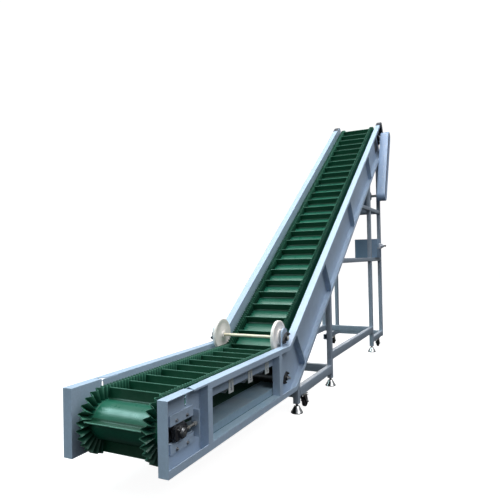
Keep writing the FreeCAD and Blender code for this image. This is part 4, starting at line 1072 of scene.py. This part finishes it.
def castor(nm, x, y):
    wy, wz = y + 36.0, 52.5
    top = (RAIL1[0] if y < 3000 else RAIL3[0]) - 14.5
    b = Build()
    # swivel race and king pin
    lathe(b, [(top, 21.0), (top - 1.0, 23.5), (top - 4.0, 24.0), (top - 4.5, 20.0)], (x, y, 0), "z", 36, 0)
    solid(b, [(top - 9.0, 8.0), (top - 8.0, 9.0), (top - 4.5, 9.0), (top - 4.5, 5.8), (top + 10.0, 5.8), (top + 11.0, 4.8)], (x, y, 0), "z", 24, 0)
    # pressed fork: crown and two arms with turned rims
    zc = top
    arm = [(y - 22, zc), (y + 22, zc), (y + 30, zc - 8), (wy + 15, wz + 8), (wy + 13, wz - 6), (wy + 5, wz - 13), (wy - 5, wz - 13), (wy - 13, wz - 6), (y - 24, zc - 12)]
    for s in (-1, 1):
        xo, xi = (x + 25.0, x + 21.5) if s > 0 else (x - 25.0, x - 21.5)
        lo, hi = min(xo, xi), max(xo, xi)
        stack(b, arm[::-1], [(lo, 0.8), (lo + 0.8, 0.0), (hi - 0.8, 0.0), (hi, 0.8)], 0)
    rbox(b, x - 25, x + 25, y - 22, y + 22, zc - 4.5, zc, 1.8, 0)
    # wheel axle with its nuts
    solid(b, [(-27.0, 4.4), (-26.0, 5.0), (26.0, 5.0), (27.0, 4.4)], (x, wy, wz), "x", 16, 0)
    bolt(b, (x + 25.0, wy, wz), "+x", 13.0, 0, None, True, 1.5, 0.3)
    bolt(b, (x - 25.0, wy, wz), "-x", 13.0, 0, None, True, 0.0, 0.1)
    # brake pedal over the wheel
    pts = [(wy + 8, zc - 9), (wy + 22, zc - 10.5), (wy + 37, zc - 16), (wy + 46, zc - 19.5), (wy + 55, zc - 18.0)]
    vs, fs = [], []
    for k, (py, pz) in enumerate(pts):
        w = (16.0, 16.0, 15.0, 17.0, 15.0)[k]
        vs += [(x - w, py, pz), (x + w, py, pz), (x + w, py, pz - 2.6), (x - w, py, pz - 2.6)]
    for k in range(len(pts) - 1):
        for j in range(4):
            j2 = (j + 1) % 4
            fs.append((k * 4 + j, k * 4 + j2, (k + 1) * 4 + j2, (k + 1) * 4 + j))
    fs += [(0, 1, 2, 3), tuple((len(pts) - 1) * 4 + j for j in (3, 2, 1, 0))]
    b.add(vs, fs, 0)
    make("castor_fork_%s_pressed" % nm, b, [fork_zinc], body="castor_swivel_" + nm, replaces=("castor_fork_" + nm,), smooth=32.0)
    b = Build()
    lathe(b, [(-16, 22), (-16, 34), (-15.2, 40), (-13.2, 43.6), (-9.5, 45.6), (-4.8, 46), (-4.2, 45.2), (-3.4, 45.2), (-2.8, 46), (2.8, 46), (3.4, 45.2), (4.2, 45.2), (4.8, 46),
              (9.5, 45.6), (13.2, 43.6), (15.2, 40), (16, 34), (16, 22)], (x, wy, wz), "x", 64, 0)
    for s in (-1, 1):
        lathe(b, [(s * 15.8, 34.5), (s * 13.0, 33.0), (s * 12.0, 30.0), (s * 12.0, 17.0), (s * 15.0, 14.0), (s * 18.0, 13.0), (s * 18.6, 12.0), (s * 18.6, 5.1), (s * 10.0, 5.1)], (x, wy, wz), "x", 48, 1)
        for k in range(5):
            g = 2 * math.pi * k / 5
            c = (x + s * 12.0, wy + 24.5 * math.cos(g), wz + 24.5 * math.sin(g))
            solid(b, [(-s * 0.5, 4.2), (s * 1.4, 4.0), (s * 1.9, 3.2)], c, "x", 14, 1)
    make("castor_wheel_%s_moulded" % nm, b, [rubber, black_plastic], body="castor_roll_" + nm, replaces=("castor_wheel_" + nm,), smooth=32.0)


for nm, x, y in CASTORS:
    castor(nm, x, y)


# ------------------------------------------------------------------ chain guard
def two_circles(p, r, q, r2, k=40):
    return hull([(p[0], p[1], r), (q[0], q[1], r2)], k)


b = Build()
gl = two_circles((HEAD_Y, HEAD_Z), 82.0, (MOT_Y, MOT_Z), 78.0, 64)
stack(b, gl, [(372.0, 1.5), (373.0, 0.0), (423.0, 0.0), (423.8, 1.6), (425.4, 1.6), (426.2, -1.6), (470.0, -1.6), (474.5, -0.4), (477.2, 2.6), (478.0, 7.0), (478.0, 22.0), (476.4, 25.0)], 0)
make("chain_guard_shell", b, [guard_paint], replaces=("chain_guard",), smooth=32.0)
# shallow rear pan that closes the guard towards the frame
b = Build()
stack(b, two_circles((HEAD_Y, HEAD_Z), 80.0, (MOT_Y, MOT_Z), 76.0, 64), [(357.0, 2.5), (358.0, 0.5), (359.0, 0.0), (372.4, 0.0)], 0)
make("chain_guard_rear_pan", b, [guard_paint], smooth=32.0)
# dark caps folded over the upper end of the flanges, and a dark apron behind the hand hole: painted shade for the
# shadowed head end
b = Build()
for mir in (False, True):
    place = mirrored(ramp) if mir else ramp
    rbox(b, 297.0, 362.6, 4696.0, 4801.0, 0.1, 3.0, 1.2, 0, place)
    rbox(b, 360.1, 362.6, 4696.0, 4801.0, -34.0, 3.0, 1.1, 0, place)
rbox(b, 291.0, 294.9, 4345.0, 4612.0, -342.0, -98.0, 1.2, 0, ramp)
make("flange_end_caps_and_shade_apron", b, [paint("cap_and_apron_painted_shade", srgb(40, 48, 60), 0.40, 0.5)], smooth=32.0)
b = Build()
n = len(gl)
per = [0.0]
for i in range(n):
    a, c = gl[i], gl[(i + 1) % n]
    per.append(per[-1] + math.hypot(c[0] - a[0], c[1] - a[1]))
for k in range(14):
    t = per[-1] * (k + 0.35) / 14
    i = max(j for j in range(n) if per[j] <= t)
    a, c = gl[i], gl[(i + 1) % n]
    u = (t - per[i]) / (per[i + 1] - per[i])
    y, z = a[0] + (c[0] - a[0]) * u, a[1] + (c[1] - a[1]) * u
    ty, tz = (c[0] - a[0]) / (per[i + 1] - per[i]), (c[1] - a[1]) / (per[i + 1] - per[i])
    ny, nz = tz, -ty

    def place(p, y=y, z=z, ny=ny, nz=nz, ty=ty, tz=tz):
        # x stays x; first axis along the normal, second along the outline
        return (p[2], y + ny * p[0] + ty * p[1], z + nz * p[0] + tz * p[1])
    solid(b, [(0.0, 6.0), (0.8, 6.5), (1.6, 6.5), (2.2, 5.8)], (1.2, 0.0, 434.0), "x", 18, 0, place)
    solid(b, [(2.0, 4.6), (4.2, 4.2), (5.2, 2.6)], (1.2, 0.0, 434.0), "x", 14, 0, place)
for y, z in ((HEAD_Y, HEAD_Z), (MOT_Y, MOT_Z)):
    lathe(b, [(476.5, 34.0), (477.6, 33.0), (477.6, 30.0), (476.6, 29.0)], (0, y, z), "x", 40, 1)
make("chain_guard_screws", b, [zinc, guard_paint], smooth=32.0)

# ------------------------------------------------------------------ gearbox and motor
b = Build()
z0 = MOTOR_RAIL[1] + 10.0
zt = MOT_Z + 105.0
rbox(b, 132, 288, MOT_Y - 84, MOT_Y + 84, z0 + 12, zt - 6, 14.0)
rbox(b, 120, 300, MOT_Y - 95, MOT_Y + 95, z0, z0 + 16, 4.0)
for i in range(9):
    x = 146 + i * 16
    rbox(b, x, x + 4, MOT_Y - 91, MOT_Y + 91, z0 + 14, zt - 22, 1.5)
    rbox(b, x, x + 4, MOT_Y - 62, MOT_Y + 62, zt - 10, zt, 1.5)
solid(b, [(286, 74.0), (296, 74.0), (300, 72.0), (300, 60.0), (317, 59.0), (320, 56.0)], (0, MOT_Y, MOT_Z), "x", 56)
solid(b, [(60, 90.0), (62, 92.0), (72, 92.0), (75, 88.0), (92, 74.0), (112, 72.0), (134, 76.0)], (0, MOT_Y, MOT_Z), "x", 56)
for k in range(8):
    g = 2 * math.pi * (k + 0.5) / 8
    bolt(b, (75.0, MOT_Y + 82 * math.cos(g), MOT_Z + 82 * math.sin(g)), "+x", 11.0, 1, None, True, 0.0, g)
    bolt(b, (300.0, MOT_Y + 66 * math.cos(g), MOT_Z + 66 * math.sin(g)), "+x", 10.0, 1, None, False, 0.0, g)
for sx in (134.0, 286.0):
    for sy in (-88.0, 88.0):
        bolt(b, (sx, MOT_Y + sy, z0 + 16), "+z", 13.0, 1, None, True, 0.0, sx)
solid(b, [(zt - 8, 9.0), (zt - 2, 9.0), (zt - 1.5, 7.0), (zt + 0.0, 6.5)], (210.0, MOT_Y + 74.0, 0), "z", 16, 1)
b.v = [(p[0] - 60.0, p[1], p[2]) for p in b.v]
make("gearbox_casting", b, [motor_paint, zinc], replaces=("gearbox",), smooth=32.0)
b = Build()
solid(b, [(258, 18.0), (438, 18.0), (440, 16.5)], (0, MOT_Y, MOT_Z), "x", 32)
make("gearbox_output_shaft", b, [steel], smooth=32.0)

b = Build()
lathe(b, [(60, 20.0), (60, 80.0), (58, 84.0), (46, 84.0), (43, 82.0), (40, 73.0), (-168, 73.0), (-171, 82.0), (-176, 82.0), (-178, 79.0)], (0, MOT_Y, MOT_Z), "x", 64)
for k in range(36):
    g = 2 * math.pi * k / 36
    if 62 < math.degrees(g) < 118:
        continue

    def place(p, g=g):
        return (p[0], MOT_Y + p[1] * math.cos(g) - p[2] * math.sin(g), MOT_Z + p[1] * math.sin(g) + p[2] * math.cos(g))
    v = [(-166, 70, -2.0), (-166, 70, 2.0), (-164, 83.2, 1.1), (-164, 83.2, -1.1), (40, 70, -2.0), (40, 70, 2.0), (38, 83.2, 1.1), (38, 83.2, -1.1)]
    b.add(v, [(0, 1, 2, 3), (7, 6, 5, 4), (0, 4, 5, 1), (1, 5, 6, 2), (2, 6, 7, 3), (3, 7, 4, 0)], 0, place)
# fan cowl with its grille
lathe(b, [(-172, 80.0), (-172, 83.5), (-174, 84.0), (-222, 84.0), (-230, 81.0), (-234, 75.0), (-235, 68.0), (-235, 62.0), (-232, 61.0)], (0, MOT_Y, MOT_Z), "x", 64)
for r in (12.0, 24.0, 36.0, 48.0, 60.0):
    lathe(b, [(-234.8, r - 1.6), (-234.8, r + 1.6), (-231.5, r + 1.6), (-231.5, r - 1.6)], (0, MOT_Y, MOT_Z), "x", 48, 0, None, True)
for k in range(6):
    g = math.pi * k / 3

    def place(p, g=g):
        return (p[0], MOT_Y + p[1] * math.cos(g) - p[2] * math.sin(g), MOT_Z + p[1] * math.sin(g) + p[2] * math.cos(g))
    box(b, -234.0, -231.0, 3.0, 63.0, -2.0, 2.0, 0, place)
solid(b, [(-226, 60.0), (-222, 60.0)], (0, MOT_Y, MOT_Z), "x", 32, 2)
# terminal box with lid, screws and a cable gland
rbox(b, -128, -22, MOT_Y - 48, MOT_Y + 48, MOT_Z + 68, MOT_Z + 110, 5.0)
rbox(b, -130, -20, MOT_Y - 50, MOT_Y + 50, MOT_Z + 111, MOT_Z + 122, 4.0)
for sx in (-122.0, -28.0):
    for sy in (-42.0, 42.0):
        solid(b, [(MOT_Z + 121, 4.5), (MOT_Z + 124, 4.2), (MOT_Z + 125, 3.0)], (sx, MOT_Y + sy, 0), "z", 14, 1)
bolt(b, (-75.0, MOT_Y - 48, MOT_Z + 90), "-y", 22.0, 2, None, False, 0.0, 0.2)
solid(b, [(-61.0, 9.0), (-72.0, 8.0), (-74.0, 6.0)], (-75.0, MOT_Y, MOT_Z + 90), "y", 20, 2)
b.v = [(p[0] - 60.0, p[1], p[2]) for p in b.v]
make("drive_motor_ribbed", b, [motor_paint, zinc, black_plastic], replaces=("drive_motor",), smooth=32.0)

# ------------------------------------------------------------------ control box
BX0, BX1, BY0, BY1, BZ0, BZ1 = 72.0, 384.0, 5010.0, 5290.0, BOX_RAIL[1], 1552.0
dress("control_box", box_paint, bevel=1.2)
b = Build()
rbox(b, BX0 + 8, BX0 + 11, BY0 + 18, BY1 - 18, BZ0 + 18, BZ1 - 18, 1.0, 0)
for z in (1340.0, 1440.0):
    rbox(b, BX0 + 11, BX0 + 18, BY0 + 30, BY1 - 30, z - 17, z + 17, 1.0, 1)
for y0, w, z, hgt, mm in ((5045, 45, 1440, 80, 2), (5095, 45, 1440, 80, 3), (5145, 70, 1440, 84, 2), (5050, 18, 1340, 66, 3), (5070, 18, 1340, 66, 3), (5090, 18, 1340, 66, 3), (5120, 120, 1340, 46, 2)):
    rbox(b, BX0 + 18, BX0 + 82, y0, y0 + w, z - hgt / 2, z + hgt / 2, 2.5, mm)
    rbox(b, BX0 + 80, BX0 + 88, y0 + 4, y0 + w - 4, z - 9, z + 9, 2.0, 2)
for y0 in (5034.0, 5262.0):
    rbox(b, BX0 + 11, BX0 + 50, y0 - 9, y0 + 9, BZ0 + 26, BZ1 - 26, 1.5, 3)
make("control_box_gear", b, [zinc, zinc, black_plastic, plastic("light_plastic", (0.45, 0.46, 0.46, 1.0), 0.45)], smooth=32.0)
b = Build()
for y in (5060.0, 5110.0):
    bolt(b, (230.0, y, BZ0), "-z", 24.0, 0, None, False, 0.0, 0.3)
    solid(b, [(BZ0 - 13, 9.5), (BZ0 - 24, 8.5), (BZ0 - 27, 6.0)], (230.0, y, 0), "z", 20, 0)
# sealing lip round the door opening
for seg4 in ((BY0 + 2, BY1 - 2, BZ0 + 2, BZ0 + 6), (BY0 + 2, BY1 - 2, BZ1 - 6, BZ1 - 2), (BY0 + 2, BY0 + 6, BZ0 + 6, BZ1 - 6), (BY1 - 6, BY1 - 2, BZ0 + 6, BZ1 - 6)):
    rbox(b, BX1 - 4, BX1 + 0.8, seg4[0], seg4[1], seg4[2], seg4[3], 1.2, 0)
make("control_box_fittings", b, [black_plastic], smooth=32.0)

b = Build()
rbox(b, BX1 + 1.5, BX1 + 4.0, BY0, BY1, BZ0, BZ1, 1.1)
# pressed panel line
inset = [(BY0 + 16, BZ0 + 16), (BY1 - 16, BZ0 + 16), (BY1 - 16, BZ1 - 16), (BY0 + 16, BZ1 - 16)]
stack(b, inset, [(BX1 + 3.6, 0.0), (BX1 + 4.6, 0.9), (BX1 + 5.0, 2.4)], 0)
make("control_box_door_panel", b, [box_paint], body="control_door", replaces=("control_box_door",), smooth=32.0)
b = Build()
zl = BZ0 + 130.0
solid(b, [(BX1 + 4.5, 13.0), (BX1 + 6.5, 13.0), (BX1 + 7.5, 11.5), (BX1 + 7.5, 8.0), (BX1 + 12.0, 7.5), (BX1 + 13.5, 6.0)], (0, BY0 + 40, zl), "x", 28, 0)
rbox(b, BX1 + 10.0, BX1 + 14.0, BY0 + 38.2, BY0 + 41.8, zl - 9, zl + 9, 1.0, 0)
make("control_box_lock", b, [zinc], body="control_door", smooth=32.0)

# rotary isolator: square base, round collar and a long handle
IY, IZ = 5165.0, 1452.0
b = Build()
rbox(b, BX1 + 4, BX1 + 26, IY - 42, IY + 42, IZ - 42, IZ + 42, 5.0)
for sy in (-33.0, 33.0):
    for sz in (-33.0, 33.0):
        solid(b, [(BX1 + 25.5, 4.2), (BX1 + 27.0, 4.0), (BX1 + 27.6, 3.0)], (0, IY + sy, IZ + sz), "x", 14, 1)
solid(b, [(BX1 + 26, 34.0), (BX1 + 28, 34.0), (BX1 + 31, 31.0), (BX1 + 33, 28.0), (BX1 + 50, 27.0), (BX1 + 52, 25.0), (BX1 + 53, 18.5), (BX1 + 70, 17.5), (BX1 + 72, 16.0)], (0, IY, IZ), "x", 48, 0)
for k in range(18):
    g = 2 * math.pi * k / 18
    solid(b, [(BX1 + 34, 1.8), (BX1 + 49, 1.8)], (0, IY + 27.6 * math.cos(g), IZ + 27.6 * math.sin(g)), "x", 8, 0)
# the handle: a bent steel rod with a moulded grip
rod = [(BX1 + 60, IY, IZ), (BX1 + 70, IY - 2, IZ + 1), (BX1 + 77, IY - 8, IZ + 1), (BX1 + 83, IY - 16, IZ - 3), (BX1 + 90, IY - 24, IZ - 5), (BX1 + 97, IY - 32, IZ - 2), (BX1 + 98, IY - 36, IZ + 1)]
vs, fs = [], []
for i, p in enumerate(rod):
    a, c = Vector(rod[max(0, i - 1)]), Vector(rod[min(len(rod) - 1, i + 1)])
    e1, e2 = frame_of((c - a).normalized())
    vs += [tuple(Vector(p) + e1 * 5.0 * math.cos(2 * math.pi * j / 12) + e2 * 5.0 * math.sin(2 * math.pi * j / 12)) for j in range(12)]
for i in range(len(rod) - 1):
    fs += [(i * 12 + j, i * 12 + (j + 1) % 12, (i + 1) * 12 + (j + 1) % 12, (i + 1) * 12 + j) for j in range(12)]
fs += [tuple(range(12)), tuple((len(rod) - 1) * 12 + j for j in range(12))]
b.add(vs, fs, 2)
solid(b, [(-15.0, 5.0), (-13.5, 9.0), (-8.0, 12.4), (0.0, 13.0), (8.0, 12.4), (13.5, 9.0), (15.0, 5.0)], (BX1 + 93, IY - 34, IZ), "y", 28, 2)
make("isolator_switch_moulded", b, [switch_grey, zinc, black_plastic], body="control_door", replaces=("isolator_switch",), smooth=32.0)

# ------------------------------------------------------------------ floor, light, camera
me = bpy.data.meshes.new("floor")
me.from_pydata([(-60, -60, -0.0005), (60, -60, -0.0005), (60, 60, -0.0005), (-60, 60, -0.0005)], [], [(0, 1, 2, 3)])
floor = link(bpy.data.objects.new("floor", me))
s = Shade("floor_paper", 0.85, 0.0, 0.2)
s.colour(s.mix(s.ramp(s.noise(0.6, 2.0), 0.3, 0.7), (0.28, 0.28, 0.28, 1.0), (0.30, 0.30, 0.30, 1.0)))
s.p.inputs["Emission Color"].default_value = (1.0, 1.0, 1.0, 1.0)
s.p.inputs["Emission Strength"].default_value = 0.93
me.materials.append(s.mat)
floor.visible_diffuse = False
floor.visible_glossy = False

scene = bpy.context.scene
world = scene.world or bpy.data.worlds.new("world")
scene.world = world
world.use_nodes = True
t = world.node_tree
t.nodes.clear()
out = t.nodes.new("ShaderNodeOutputWorld")
seen = t.nodes.new("ShaderNodeBackground")
seen.inputs["Color"].default_value = (1.0, 1.0, 1.0, 1.0)
seen.inputs["Strength"].default_value = 1.05
lit = t.nodes.new("ShaderNodeBackground")
co = t.nodes.new("ShaderNodeTexCoord")
sep = t.nodes.new("ShaderNodeSeparateXYZ")
mr = t.nodes.new("ShaderNodeValToRGB")
mr.color_ramp.elements[0].position = 0.0
mr.color_ramp.elements[0].color = (0.018, 0.019, 0.021, 1.0)
mr.color_ramp.elements[1].position = 1.0
mr.color_ramp.elements[1].color = (0.42, 0.44, 0.47, 1.0)
for pos, v in ((0.44, 0.035), (0.50, 0.16), (0.60, 0.24)):
    e = mr.color_ramp.elements.new(pos)
    e.color = (v * 0.97, v * 0.99, v, 1.0)
half = t.nodes.new("ShaderNodeMath")
half.operation = "MULTIPLY_ADD"
half.inputs[1].default_value = 0.5
half.inputs[2].default_value = 0.5
t.links.new(co.outputs["Generated"], sep.inputs["Vector"])
t.links.new(sep.outputs["Z"], half.inputs[0])
t.links.new(half.outputs[0], mr.inputs["Fac"])
t.links.new(mr.outputs["Color"], lit.inputs["Color"])
lit.inputs["Strength"].default_value = 1.0
lp = t.nodes.new("ShaderNodeLightPath")
mx = t.nodes.new("ShaderNodeMixShader")
t.links.new(lp.outputs["Is Camera Ray"], mx.inputs["Fac"])
t.links.new(lit.outputs["Background"], mx.inputs[1])
t.links.new(seen.outputs["Background"], mx.inputs[2])
t.links.new(mx.outputs["Shader"], out.inputs["Surface"])


def area(name, loc, target, size, power):
    d = bpy.data.lights.new(name, "AREA")
    d.shape = "RECTANGLE"
    d.size, d.size_y = size
    d.energy = power
    o = link(bpy.data.objects.new(name, d))
    o.location = loc
    o.rotation_mode = "QUATERNION"
    o.rotation_quaternion = (Vector(target) - Vector(loc)).to_track_quat("-Z", "Y")
    return o


area("overhead", (0.3, -1.0, 9.5), (0.0, -0.5, 0.0), (6.0, 9.0), 880.0)
area("side", (6.6, -2.6, 7.0), (0.0, -0.4, 1.0), (6.0, 4.0), 228.0)
area("gloss", (-6.0, -5.2, 7.4), (0.0, -2.7, 0.5), (5.0, 3.5), 400.0).data.color = (0.62, 0.96, 0.97)
area("front_fill", (-1.5, -11.0, 4.0), (0.0, -2.0, 0.8), (4.0, 3.0), 90.0)
area("rear_fill", (-3.5, 10.0, 4.2), (0.0, 2.0, 1.6), (4.0, 3.0), 170.0)

scene.view_settings.view_transform = "Standard"
scene.view_settings.look = "None"
scene.view_settings.exposure = 0.0
scene.view_settings.gamma = 1.0

CAM = Vector((1.8394122922719842 - 0.0525, -2.0466175178241737 - ORIGIN_Y / 1000.0, 1.3078744646716431))
YAW, PITCH, ROLL = 0.4583264913562769, 0.012783666226108516, -0.019770702715627027
FOCAL, PPX, PPY = 493.8065498203976, 248.25712973431354, 252.34848554774675
fwd = Vector((-math.sin(YAW) * math.cos(PITCH), math.cos(YAW) * math.cos(PITCH), math.sin(PITCH)))
rt = Vector((math.cos(YAW), math.sin(YAW), 0.0))
up = rt.cross(fwd)
r = math.cos(ROLL) * rt + math.sin(ROLL) * up
u = -math.sin(ROLL) * rt + math.cos(ROLL) * up
cd = bpy.data.cameras.new("camera")
cam = link(bpy.data.objects.new("camera", cd))
m = Matrix((r, u, -fwd)).transposed().to_4x4()
m.translation = CAM
cam.matrix_world = m
cd.sensor_width = 36.0
cd.lens = FOCAL / 500.0 * 36.0
cd.shift_x = (250.0 - PPX) / 500.0
cd.shift_y = (PPY - 250.0) / 500.0
cd.clip_start, cd.clip_end = 0.05, 200.0
cd.dof.use_dof = False
scene.camera = cam
